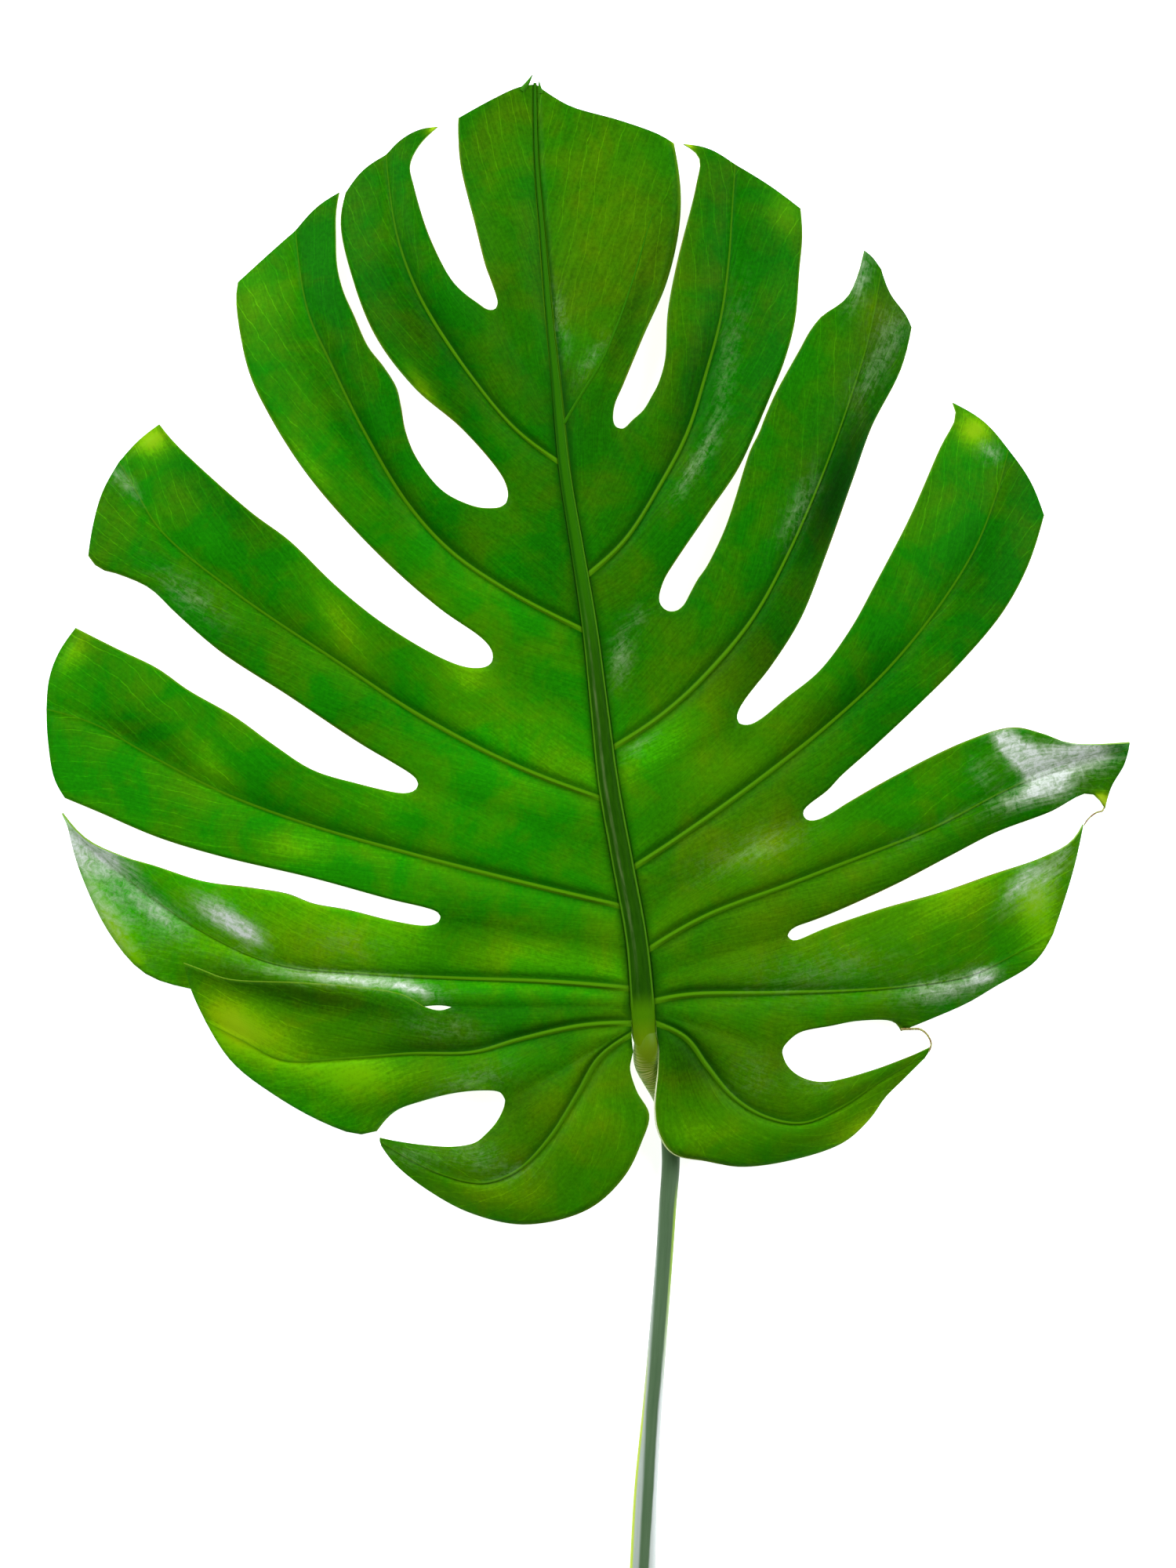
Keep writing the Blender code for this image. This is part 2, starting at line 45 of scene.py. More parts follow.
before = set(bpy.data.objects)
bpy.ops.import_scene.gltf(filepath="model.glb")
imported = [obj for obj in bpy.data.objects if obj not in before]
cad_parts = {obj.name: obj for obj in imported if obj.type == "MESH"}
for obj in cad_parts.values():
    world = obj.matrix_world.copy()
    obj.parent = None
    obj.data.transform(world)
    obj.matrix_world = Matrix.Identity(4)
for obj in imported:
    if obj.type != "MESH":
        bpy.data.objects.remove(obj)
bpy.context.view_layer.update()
MM = 0.001

# Midrib: centre line from the base to the tip, its width, its height and the rise of its crest
MIDRIB = [(0.5, -8.5), (0, 2.5), (-2, 25), (-6.5, 50), (-11, 75), (-14, 100), (-17, 125), (-21, 150),
          (-25, 175), (-28, 205), (-30, 225), (-32, 250), (-34, 275), (-34.5, 299)]
MIDRIB_WIDTH_AT = [(-8.5, 8.4), (7.5, 7.0), (25, 5.0), (75, 4.2), (125, 3.2), (200, 2.0), (299, 0.8)]
MIDRIB_HEIGHT_AT = [(-8.5, 15), (25, 16), (75, 17), (125, 16), (175, 14), (225, 10.5), (275, 4.5), (299, 1.2)]
CREST_RISE = 0.1

# Gaps between the lobes. root: where the line from the gap's inner end meets the midrib. end: its inner end.
# tip_side: the gap's edge nearer the leaf's tip, from the end outwards. stalk_side: its edge nearer the stalk.
# The heights follow each edge at equal steps, after the height at the gap's inner end.
GAPS = {
    "A": dict(root=192.5, end=(-46.9, 226.3), end_height=12,
              tip_side=[(-46.3, 227.8), (-46.6, 230), (-48.2, 235), (-50, 240), (-53.5, 254), (-58, 272), (-59, 282), (-59, 288)],
              tip_heights=[9.5, 6.5, 3],
              stalk_side=[(-48, 225.8), (-49.8, 226.1), (-52.6, 228), (-56.7, 231), (-61, 235.5), (-68, 249), (-73, 265), (-74.3, 272.5), (-71.3, 279),
                          (-65.5, 285)],
              stalk_heights=[12.5, 10, 5]),
    "B": dict(root=150.5, end=(-43.5, 164.3), end_height=15,
              tip_side=[(-42.9, 167), (-43.6, 170.4), (-46.2, 175), (-57.5, 188), (-72.5, 201), (-85, 217.5), (-93, 237.5), (-96.5, 254),
                        (-95, 264)],
              tip_heights=[13.5, 9.5, 4],
              stalk_side=[(-45.3, 163), (-48.75, 162.6), (-53.6, 163.2), (-63.5, 168), (-72, 178.5), (-75.5, 187), (-77, 195),
                          (-78.5, 201), (-82.5, 207.5), (-87.5, 214), (-92, 224), (-95.5, 232),
                          (-97.5, 240), (-98, 250), (-98, 257.5), (-97, 264)],
              stalk_heights=[15, 12.5, 5]),
    "C": dict(root=97.0, end=(-48.1, 113.7), end_height=15,
              tip_side=[(-47.7, 115.8), (-48.6, 118.3), (-51.5, 121.5), (-65, 131), (-85, 149), (-106, 172.5), (-119, 192.5),
                        (-126, 207.5), (-130, 229), (-129.5, 235.5)],
              tip_heights=[13, 8.5, 3],
              stalk_side=[(-49.4, 112.5), (-51.8, 111.9), (-56.4, 112.2), (-65, 115.5), (-82.5, 126), (-97.5, 138), (-112.5, 152.5),
                          (-124, 161), (-139, 174), (-150, 184.5), (-154.5, 190)],
              stalk_heights=[15, 11.5, 4.5]),
    "D": dict(root=53.0, end=(-71.5, 75), end_height=14,
              tip_side=[(-72.2, 76.7), (-74.3, 78.5), (-78.3, 81), (-90, 88), (-112.5, 103), (-135, 117.5), (-149, 129.5),
                        (-157.5, 137.5), (-167.5, 142), (-174, 144), (-177.5, 148)],
              tip_heights=[12.5, 8.5, 2],
              stalk_side=[(-72.2, 73.3), (-73.9, 72.4), (-76.3, 72.1), (-80, 72.6), (-90, 75), (-105, 79.5), (-117.5, 87.5), (-130, 96.5),
                          (-145, 105), (-155, 112), (-167.5, 118), (-181.5, 125)],
              stalk_heights=[13, 8.5, 2.2]),
    "E": dict(root=23.0, end=(-64.4, 32.7), end_height=13.5,
              tip_side=[(-64.9, 33.8), (-66.4, 34.8), (-70, 35.9), (-80, 38.2), (-105, 45), (-135, 52), (-155, 58), (-174, 66),
                        (-185, 70.5)],
              tip_heights=[11, 7, 1.6],
              stalk_side=[(-65, 31.2), (-66.7, 30.3), (-70, 30), (-80, 31.6), (-94, 35), (-105, 37), (-113, 40), (-125, 42),
                          (-140, 44), (-156, 49), (-165, 51.5), (-177.5, 57), (-185.5, 65.5)],
              stalk_heights=[12.5, 10, 6.5]),
    "F": dict(root=4.75, end=(-61, 4), end_height=11,
              tip_side=[(-65, 4.5), (-80, 3), (-105, 3.5), (-127.5, 6), (-145, 9.5)],
              tip_heights=[7, 4, 2],
              stalk_side=[(-64.5, 3), (-69, 4), (-76, 8), (-90, 10.5), (-110, 12), (-132.5, 13),
                          (-141, 16), (-146.5, 18)],
              stalk_heights=[13, 11.5, 8]),
    "G": dict(root=-2.75, end=(-43.9, -25.6), end_height=13,
              tip_side=[(-44.4, -23.9), (-46.2, -22.8), (-51.7, -22.5), (-60, -23.4), (-70, -26), (-79, -29.5), (-85, -36)],
              tip_heights=[11.5, 8, 4],
              stalk_side=[(-44.2, -27.5), (-45.2, -30), (-47, -33), (-50, -36.3), (-53.3, -39), (-60, -40.4), (-70, -40), (-84, -38)],
              stalk_heights=[11.5, 9, 6.5]),
    "H": dict(root=-6.5, end=(-3.1, -10), end_height=14.5,
              tip_side=[(-3.7, -12.5), (-4.1, -15.5), (-2, -22.5), (2, -30), (-0.5, -39), (-6, -50), (-17.5, -60.5),
                        (-37.5, -65.5), (-55, -62), (-69, -54.5), (-79, -46.5), (-83.5, -40.5)],
              tip_heights=[13, 9.5, 6, 6.5]),
    "a": dict(root=162.5, end=(-7.5, 188), end_height=14.5,
              tip_side=[(-8.7, 188.6), (-9.45, 190.2), (-9.55, 192.6), (-8.9, 196.1), (-6.6, 201.5), (0, 217.5), (7.5, 235), (11.5, 252.5), (12, 266),
                        (10, 280)],
              tip_heights=[12, 7.5, 2.5],
              stalk_side=[(-6.4, 187.9), (-5.2, 188.7), (-3.6, 190.4), (0.1, 193.8), (2.5, 197.8), (4.8, 202.1), (7, 209.5), (8, 225), (11, 241), (17, 265.5),
                          (18, 275), (13, 279.5)],
              stalk_heights=[14.5, 11, 5]),
    "b": dict(root=113.5, end=(6.5, 130.8), end_height=15,
              tip_side=[(5.5, 132.1), (5.1, 133.8), (5.4, 136), (6.8, 140.2), (10, 145.5), (20.5, 161), (30, 175), (37, 190), (41, 199.5),
                        (45, 209.5), (48.5, 222.5), (50, 239), (51, 250), (50.5, 259)],
              tip_heights=[13.5, 9, 3.5],
              stalk_side=[(7.6, 130.1), (9, 129.8), (10.9, 130.2), (12.9, 131.9), (14.6, 135), (17.3, 140),
                          (20, 143.8), (25.5, 155), (29, 165), (32, 175), (34, 181),
                          (37, 187), (38.5, 191), (42, 199), (45.5, 205.5), (50, 213.5), (53, 219),
                          (57, 224), (61.5, 227), (65, 230), (68, 236), (70.5, 245)],
              stalk_heights=[15.5, 13, 9.5]),
    "c": dict(root=67.0, end=(30.5, 94.3), end_height=15,
              tip_side=[(29.8, 96.2), (30.4, 98.5), (32.5, 102), (41, 113), (50, 127.5), (58, 147.5), (67, 172.5), (73, 189),
                        (82.5, 207.5), (86, 221)],
              tip_heights=[12, 7.5, 3.5],
              stalk_side=[(32.1, 93.8), (34.2, 94), (37.5, 95.8), (45, 102), (56, 111), (66, 124.5), (74, 139), (85, 160),
                          (95, 182.5), (100, 192.5), (99, 197)],
              stalk_heights=[14.5, 11, 4]),
    "d": dict(root=35.5, end=(51, 65), end_height=14,
              tip_side=[(50.9, 66.2), (51.7, 67.5), (53.4, 69), (58.7, 73), (62.9, 77.5), (72.5, 86), (87.5, 100), (102.5, 115), (115, 130),
                        (123, 144.5), (128.5, 161)],
              tip_heights=[12, 8, 2],
              stalk_side=[(51.6, 64), (53.1, 63.4), (55.4, 63.7), (58.4, 65), (65, 69), (80, 77.5), (102.5, 88.5), (117.5, 93), (127.5, 91),
                          (136, 88), (155.5, 88)],
              stalk_heights=[13.5, 11.5, 6]),
    "e": dict(root=14.25, end=(46, 26.8), end_height=13,
              tip_side=[(46.6, 28.1), (48.5, 29.6), (53.3, 31.4), (60, 34), (80, 43), (97.5, 52), (112.5, 59.5), (130, 66),
                        (143, 72), (148, 67)],
              tip_heights=[11, 7, 2],
              stalk_side=[(46.6, 25.9), (47.8, 25.3), (49.5, 25.6), (57.5, 29), (75, 35), (95, 40.5), (111, 46), (127.5, 51.5),
                          (137, 56.5), (141, 62)],
              stalk_heights=[12, 9, 3]),
    "f": dict(root=2.5, end=(44.3, -10.4), end_height=13,
              tip_side=[(44.6, -8.9), (46.4, -6.6), (50, -4), (60, -2), (69, -0.5), (80, -1), (82.5, -4)],
              tip_heights=[11.5, 8.5, 4.5],
              stalk_side=[(44.7, -12), (46, -14.6), (49, -17.4), (54, -19.4), (60, -19.5), (72.5, -16.5), (85, -12), (92, -9)],
              stalk_heights=[12, 9.5, 6.5]),
    "h": dict(root=-5.0, end=(5.1, -9), end_height=14.5,
              tip_side=[(5, -12), (4.7, -17), (3.9, -24), (3.7, -28.5), (5, -36), (9.5, -42.5), (20, -45), (31, -47),
                        (47.5, -45), (64, -39.5), (72.5, -32), (77.5, -25), (82.5, -20), (90, -12.5)],
              tip_heights=[12.5, 8.5, 6, 6.5]),
}

# Side lobes, named from the tip down each side. above and below: their gaps. vein: from the midrib outwards.
# Between the vein's end and the two corners the outer rim goes through rim_above and rim_below.
LOBES = {
    "L1": dict(side=-1, above="A", below="B", heights=[13.5, 11, 5.5],
               vein=[(-26.5, 177), (-41, 188), (-55.5, 205.5), (-69, 226), (-75, 239), (-79, 252.5),
                     (-82, 276)],
               rim_above=[(-77, 281), (-71.5, 284)], rim_below=[(-89.5, 271)]),
    "L2": dict(side=-1, above="B", below="C", heights=[13, 10.5, 4],
               vein=[(-18.5, 123.5), (-42.5, 136), (-61, 148.5), (-75, 164), (-89, 187.5),
                     (-100, 210), (-107, 226), (-111, 252)],
               rim_above=[(-104, 259.5)], rim_below=[(-119, 245)]),
    "L3": dict(side=-1, above="C", below="D", heights=[12.5, 9, 3.5],
               vein=[(-13.5, 70), (-40, 80.5), (-70, 96), (-97.5, 114), (-130, 136), (-154, 156),
                     (-163, 170.5), (-167.5, 178)],
               rim_above=[(-161, 185)], rim_below=[(-173, 168), (-176, 157.5)]),
    "L4": dict(side=-1, above="D", below="E", heights=[11.5, 7, 0.7],
               vein=[(-8.5, 36), (-40, 44), (-75, 53), (-105, 61.5), (-132.5, 71.5), (-160, 85.5),
                     (-175, 94), (-191, 99)],
               rim_above=[(-190, 109), (-187, 117)], rim_below=[(-190.5, 89), (-188.5, 77)]),
    "L5": dict(side=-1, above="E", below="F", heights=[9, 5.5, 3.5],
               vein=[(-3.5, 10), (-30, 12), (-60, 13), (-90, 14.5), (-117.5, 17.5), (-137.5, 26),
                     (-160, 41), (-184, 61.5)],
               rim_above=[], rim_below=[(-180, 47), (-170.5, 27), (-159.5, 14.5)]),
    "L6": dict(side=-1, above="F", below="G", heights=[12, 10, 6.5],
               vein=[(-3, -1), (-20, -2), (-40, -6.5), (-54, -10.5), (-75, -11), (-95, -12.5),
                     (-115, -13), (-127.5, -7), (-139.5, -1)],
               rim_above=[(-144, 9)],
               rim_below=[(-131, -14), (-117.5, -24.5), (-102.5, -33), (-91, -37)]),
    "L7": dict(side=-1, above="G", below="H", heights=[13.5, 11, 6.5],
               vein=[(-3, -4.5), (-14, -12), (-21, -24), (-30, -38), (-40, -48), (-51, -52), (-65, -49),
                     (-84, -39)],
               rim_above=[], rim_below=[]),
    "R1": dict(side=1, above="a", below="b", heights=[14, 10.5, 5],
               vein=[(-17, 141), (-6, 152), (5, 169), (14, 186), (20, 205), (25, 224), (27.5, 242.5),
                     (28.5, 257.5), (29.5, 273)],
               rim_above=[(21, 278)], rim_below=[(41, 266)]),
    "R2": dict(side=1, above="b", below="c", heights=[14.5, 12.5, 9],
               vein=[(-9.5, 86), (5, 96), (20, 109.5), (35, 127.5), (46, 147.5), (57.5, 174),
                     (66.5, 199), (72, 217.5), (76, 239)],
               rim_above=[(73, 243)], rim_below=[(79, 231.5), (84, 225)]),
    "R3": dict(side=1, above="c", below="d", heights=[13, 9, 3],
               vein=[(-5, 48), (10, 57), (32.5, 73), (57.5, 92.5), (77.5, 111), (94, 131), (106, 150),
                     (112.5, 166), (117, 182)],
               rim_above=[(109, 191)], rim_below=[(124, 172)]),
    "R4": dict(side=1, above="d", below="e", heights=[12, 9, 3],
               vein=[(0, 22), (20, 33), (45, 42.5), (70, 52), (92.5, 61), (120, 75), (140, 82),
                     (155.5, 86)],
               rim_above=[], rim_below=[(154, 81), (150, 74)]),
    "R5": dict(side=1, above="e", below="f", heights=[12, 7.5, 1.2],
               vein=[(3.5, 6), (15, 8), (40, 8.5), (65, 9), (85, 10.5), (105, 14), (120, 21),
                     (131.5, 27)],
               rim_above=[(138, 48)], rim_below=[(125.5, 18), (112.5, 10), (104, 5), (92.5, 0)]),
    "R6": dict(side=1, above="f", below="h", heights=[13, 10.5, 6.5],
               vein=[(4.5, -1), (14, -6), (20.5, -15), (29, -25), (39, -31), (51, -33), (64, -27.5),
                     (76, -19.5), (91, -11)],
               rim_above=[], rim_below=[]),
}

# The end lobe's rim, from the tip out to its two corners
END_RIM = {-1: [(-40, 298), (-47.5, 294.5)], 1: [(-30, 296), (-23, 292), (-7.5, 287.5), (5, 283)]}


# Leaf stalk: places along its centre line with radius and, where it is off the surface, centre height
STALK = [(1, -8.4, 3.5, 11.2), (1.4, -11, 4.1, 10.3), (2.2, -14, 4.0, 9.2), (4, -19, 3.6, 7.2),
         (6.3, -25, 3.2, 5.3), (8.3, -34, 3.0, 3.8), (9, -45, 2.9, None), (8, -60, 2.8, None),
         (7, -75, 2.75, None), (5, -100, 2.9, None), (3, -125, 3.15, None), (1, -150, 3.7, None),
         (0, -175, 4.15, None), (-1, -200, 4.3, None)]

# The stalk's start inside the midrib, in place of the first of those places
JOINT = [(0.5, 1, 2.6, 12.4), (0.9, -4, 3.6, 12.5), (1.2, -7.5, 4.1, 12.1), (1.1, -11, 4.25, 10.9),
         (1.4, -14, 4.15, 9.4), (3.4, -18.5, 3.8, 7.4)]

# Dried threads that still join lobes, and the two spurs at the leaf's tip: points with heights, and radius
# at their start and end
THREADS = {
    "thread_upper": ([(147.6, 67.4, 2.2), (147, 66.4, 2.6), (145, 65.8, 3.2), (142.5, 63.8, 3.0), (141.2, 61.8, 2.8)],
                     0.32, 0.22),
    "thread_lower": ([(82.4, -3.4, 4.6), (84.5, -3.3, 5.0), (88.7, -3.4, 6.2), (91, -5.4, 6.8), (92, -8, 6.6),
                      (91.3, -10.4, 6.2)], 0.4, 0.28),
    "spur_left": ([(-38.6, 297, 1.0), (-37, 299.2, 1.3), (-35.3, 302, 2.0)], 1.2, 0.12),
    "spur_right": ([(-32.6, 296.2, 1.0), (-33, 298.3, 1.2), (-33.1, 299.9, 1.6)], 0.9, 0.12),
}

# Fine veins inside a lobe: plan points, then the radius at their start and end
FINE_VEINS = {
    "fine_vein_end": ([(-25.3, 189.3), (-20, 198.2), (-13.3, 209.1), (-7.9, 221.8), (-3.7, 234), (-0.6, 244.3),
                       (1.8, 252.7), (3.3, 257)], 0.55, 0.12),
}

# Rims along the gaps' edges: name, gap, its side, from and to in fractions of that edge, radius, and whether
# the rim is pale rather than dry
MARGINS = [
    ("rim_a_tip", "a", "tip", 0.05, 0.9, 0.18, False), ("rim_a_stalk", "a", "stalk", 0.3, 1.0, 0.2, False),
    ("rim_b_tip", "b", "tip", 0.1, 0.6, 0.15, False), ("rim_c_tip", "c", "tip", 0.2, 0.9, 0.15, False),
    ("rim_d_stalk", "d", "stalk", 0.2, 0.8, 0.15, False), ("rim_e_tip", "e", "tip", 0.05, 0.7, 0.18, False),
    ("rim_e_stalk", "e", "stalk", 0.4, 1.0, 0.18, False), ("rim_f_stalk", "f", "stalk", 0.5, 1.0, 0.2, False),
    ("rim_A_tip", "A", "tip", 0.1, 0.9, 0.2, False), ("rim_A_stalk", "A", "stalk", 0.4, 0.95, 0.18, False),
    ("rim_B_tip", "B", "tip", 0.05, 0.8, 0.2, False), ("rim_B_stalk", "B", "stalk", 0.3, 0.9, 0.15, False),
    ("rim_C_tip", "C", "tip", 0.3, 0.9, 0.15, False), ("rim_D_tip", "D", "tip", 0.2, 0.7, 0.15, False),
    ("rim_E_stalk", "E", "stalk", 0.2, 0.8, 0.15, False), ("rim_h_tip", "h", "tip", 0.02, 0.5, 0.3, True),
]

# Where the stalk's dark middle band has its left and right edges, by place along Y
BAND_LEFT_AT = [(-200, -2.6), (-175, -1.4), (-150, -0.2), (-125, 1.0), (-100, 2.8), (-75, 4.2), (-45, 5.8),
                (-30, 4.0)]
BAND_RIGHT_AT = [(-200, 0.3), (-175, 1.8), (-150, 3.3), (-125, 4.7), (-100, 7.2), (-75, 9.2), (-45, 12.5),
                 (-30, 13.0)]

# The midrib's width as it is seen, groove to groove
MIDRIB_SHOWN_AT = [(-9.5, 8.2), (0, 8.0), (7.5, 7.6), (25, 7.0), (75, 6.8), (100, 5.8), (125, 4.9),
                   (150, 4.2), (175, 3.6), (200, 2.8), (225, 2.0), (250, 1.6), (299, 0.95)]

# The midrib's rise over its width: half round at the stalk, then low
MIDRIB_RISE_AT = [(-10, 0.5), (-6, 0.46), (-1, 0.3), (6, 0.14), (14, 0.11)]

# Where the end lobe's count along its vein starts: past the painted shade that side lobes have along the midrib
END_START = 8

# How far each half lobe swells up between its vein and its edge
SWELL = 1.6

# How finely the blade is divided, and how near two points are the same
STEPS_ALONG = 72
STEPS_ACROSS = 20
COARSE_ALONG = 24
COARSE_ACROSS = 8
SAME_PLACE = 0.01

# Half lobes that look darker (below 0) or lighter (above 0) than the rest, partly their own tone and partly
# painted shade and light where a half lobe turns from or towards the light: above is the half nearer the
# leaf's tip, below the half nearer the stalk
TONE_AND_SHADE = {
    "L1": dict(above=0.0, below=0.0),
    "L2": dict(above=0.0, below=0.12),
    "L3": dict(above=0.1, below=0.05),
    "L4": dict(above=0.15, below=0.18),
    "L5": dict(above=0.35, below=0.3),
    "L6": dict(above=0.15, below=0.25),
    "L7": dict(above=0.1, below=0.1),
    "R1": dict(above=0.0, below=0.0),
    "R2": dict(above=0.0, below=-0.08),
    "R3": dict(above=0.1, below=0.03),
    "R4": dict(above=0.15, below=0.0),
    "R5": dict(above=0.15, below=0.1),
    "R6": dict(above=0.08, below=0.1),
    "end": dict(above=0.0, below=0.02),
}

# Soft spots on the blade: middle, half length and half width in mm, the way the spot runs in degrees
# turned from X towards Y, and its strength
# Painted highlights: pale streaks where the lamps glare on the waxy blade
PAINTED_HIGHLIGHT_SPOTS = [
    (-172, 52, 13, 6, -33, 1.0), (-182, 56, 9, 5, -70, 0.8), (-172, 36, 20, 8, -55, 0.66),
    (-155, 34, 14, 5, -42, 0.75), (-136, 34, 10, 5, -32, 1.0), (-126, 27.5, 8, 4, -32, 1.0),
    (-128, 22, 4, 2, 0, 0.3), (-124, 17, 16, 2.5, -8, 0.2), (-92, 12.5, 26, 2.6, -6, 0.95), (-72, 9, 10, 3, -25, 0.55),
    (-94, 24, 14, 6, -10, 0.25), (-64, -3, 16, 5, -5, 0.25), (-55, -20, 15, 5, 20, 0.35),
    (-166, 172, 9, 3, -50, 0.45), (-145, 135, 15, 6, -35, 0.35), (-26.5, 222, 13, 3, -82, 0.36),
    (-16.5, 210, 9, 2.2, 57, 0.42), (27, 208, 25, 4, 78, 0.28), (17, 177, 15, 3, 60, 0.5),
    (49, 162, 13, 4, 65, 0.45), (69, 237, 12, 4, 75, 0.6), (75, 210, 19, 5.5, 64, 0.4),
    (111, 181, 5, 3, -30, 0.7), (121, 83, 16, 5, -48, 1.0), (130, 79, 11, 6, -40, 0.8),
    (140, 84, 15, 6, -5, 0.5), (130, 47, 8, 5, 40, 0.62),
    (122, 71, 13, 4, 20, 0.85), (116, 88, 6, 4, -50, 0.7), (143, 86, 10, 5, -5, 0.7),
    (108, 78, 7, 5, -50, 0.4), (134, 82, 12, 5, -20, 0.4), (90, 60, 20, 3, 27, 0.15), (35, 54, 20, 6, 20, 0.34),
    (120, 43, 11, 4, 55, 0.7), (109, 14, 5, 3.5, 0, 0.9), (96, 9.5, 16, 5, 10, 0.8),
    (57, 15, 26, 8, 10, 0.3), (135, 55, 5, 3, 60, 0.5), (55, -20, 7, 3, 0, 0.3),
    (35, -18, 10, 8, 0, 0.2), (78, 222, 5, 10, 70, 0.12), (126, 38, 7, 7, 0, 0.3), (-50, -45, 15, 6, -20, 0.35), (-73, -44, 10, 4, -10, 0.35),
    (-7, 115, 10, 4, 85, 0.5), (-1, 128, 6, 3, 45, 0.3), (-1, 87, 8, 2.5, 35, 0.36),
]
# Lighter spots: partly painted light shining through thin, bent tips and lobes, partly yellowed tips and paler tissue
BRIGHT_SPOTS = [
    (-132, 0, 13, 9, -60, 0.6), (130, 47, 8, 5, 40, 0.25), (35, 54, 16, 7, 20, 0.35), (-20, -28, 12, 12, 0, 0.25), (-118, -7, 20, 10, -30, 0.7), (-90, -18, 13, 8, 0, 0.55),
    (-157, 185, 7, 6, 0, 1.1), (-122, 232, 14, 8, -80, 0.3), (-97, 127, 18, 6, -60, 0.5),
    (-55, 110, 11, 6, -20, 0.45), (-139, 84, 12, 4.5, -50, 0.4), (-182, 117, 8, 4, 60, 0.7),
    (-112, 55, 11, 5, -10, 0.35), (-30, 21, 22, 7, 0, 0.25), (106, 188, 6, 6, 0, 1.0),
    (102, 40, 18, 7, 25, 0.5), (130, 25, 8, 10, 60, 0.5), (73, -34, 18, 6, 30, 0.8),
    (20, -36, 20, 6, 0, 0.35), (-45, -56, 18, 6, -5, 0.45), (-69, 198, 12, 3, -58, 0.8), (-62, 190, 6, 2.5, -50, 0.7), (75, 226, 6, 10, 70, 0.2),
    (126, 38, 8, 9, 0, 0.8), (-170, 30, 16, 4, -60, 0.9), (66, 45, 30, 5, 25, 0.2),
    (-15, 275, 16, 9, 0, 0.1), (46, 258, 7, 8, 0, 0.55),
    (-105, 175, 13, 3, -52, 0.4), (28, 80, 18, 7, 20, 0.3), (147, 69, 3, 3, 0, 2.6), (12.5, 280, 3.5, 2, -20, 2.6),
    (-66, 284.5, 3, 1.8, 20, 1.8),
]
# Darker spots: mostly painted shade, such as the shadow of one lobe's edge on the next, troughs and halves turned from
# the light; those below 0 lighten
DARK_SPOTS = [
    (6, 88, 22, 9, 36, -0.8), (-2, 226, 36, 3.8, 70, 0.3), (-5.5, 222, 32, 2, 69, 0.2),
    (-130, 163, 32, 8, -42, 0.28), (60, 100, 28, 6, 45, 0.3), (108, 150, 24, 8, 68, 0.2),
    (82, 80, 28, 6, 25, 0.3), (15, 200, 28, 6, 72, 0.3), (-72, 222, 24, 8, -65, 0.3),
    (-65, -8, 20, 8, 0, 0.45), (20, 10, 22, 4, 5, 0.35), (-162, 92, 15, 6, -20, 0.4),
    (-95, 190, 36, 5, -62, 0.4), (15, -10, 14, 8, -40, 0.4), (-28, -5, 18, 5, 0, 0.4),
    (-20, 128, 5, 14, 0, 0.2), (-105, 7, 40, 4.5, -9, 0.85), (-132, 15, 16, 4, -10, 0.6), (12, -16, 10, 8, 0, 0.4),
    (-45, 78, 40, 34, 0, -0.45),
    (-26, 195, 8, 18, 0, 0.25), (60, 166, 26, 6, 66, 0.75),
]
OLIVE_SPOTS = [
    (-8, 245, 22, 42, 0, 0.75), (-48, 245, 10, 34, 12, 0.35), (-40, 285, 16, 10, 0, 0.4), (-100, 0, 55, 22, -20, 0.45), (74, 222, 8, 16, -20, 0.9), (60, 30, 70, 26, 10, 0.6),
    (40, -20, 50, 22, 0, 0.7), (-40, -40, 40, 25, 0, 0.6), (25, 100, 30, 25, 20, 0.5),
    (-10, 150, 20, 40, 10, 0.1), (-60, 120, 30, 12, -40, 0.4),
    (-100, 25, 50, 12, 0, 0.5), (30, 60, 40, 20, 20, 0.5), (50, 190, 30, 12, 65, 0.15),
]


def frame_origin():
    """Where the leaf's base lies in the frame, in mm: the blade's box starts at the vein tip furthest left
    and ends at the leaf's tip."""
    low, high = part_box("leaf_blade")
    left = LOBES["L4"]["vein"][-1][0]
    top = MIDRIB[-1][1]
    return np.array([low.x / MM - left, high.y / MM - top, 0.07])


BASE = frame_origin()


def smooth_line(points, steps):
    """Points at equal lengths along a smooth curve through the given ones: cubic pieces whose slope at
    each point is the mean of its two sides, weighted by the square root of their lengths."""
    p = np.array(points, float)
    if len(p) == 2:
        return p[0] + np.linspace(0, 1, steps + 1)[:, None] * (p[1] - p[0])
    span = np.linalg.norm(np.diff(p[:, :2], axis=0), axis=1) ** 0.5
    slope = np.diff(p, axis=0) / span[:, None]
    inner = (slope[:-1] * span[1:, None] + slope[1:] * span[:-1, None]) / (span[:-1] + span[1:])[:, None]
    tangent = np.vstack([1.5 * slope[0] - 0.5 * inner[0], inner, 1.5 * slope[-1] - 0.5 * inner[-1]])
    w = np.linspace(0, 1, 25)[:, None, None]
    h = span[None, :, None]
    fine = ((2 * w**3 - 3 * w**2 + 1) * p[:-1] + (w**3 - 2 * w**2 + w) * h * tangent[:-1]
            + (3 * w**2 - 2 * w**3) * p[1:] + (w**3 - w**2) * h * tangent[1:])
    fine = np.vstack([fine[:-1].transpose(1, 0, 2).reshape(-1, p.shape[1]), p[-1:]])
    length = np.concatenate([[0], np.cumsum(np.linalg.norm(np.diff(fine[:, :2], axis=0), axis=1))])
    wanted = np.linspace(0, length[-1], steps + 1)
    return np.column_stack([np.interp(wanted, length, column) for column in fine.T])


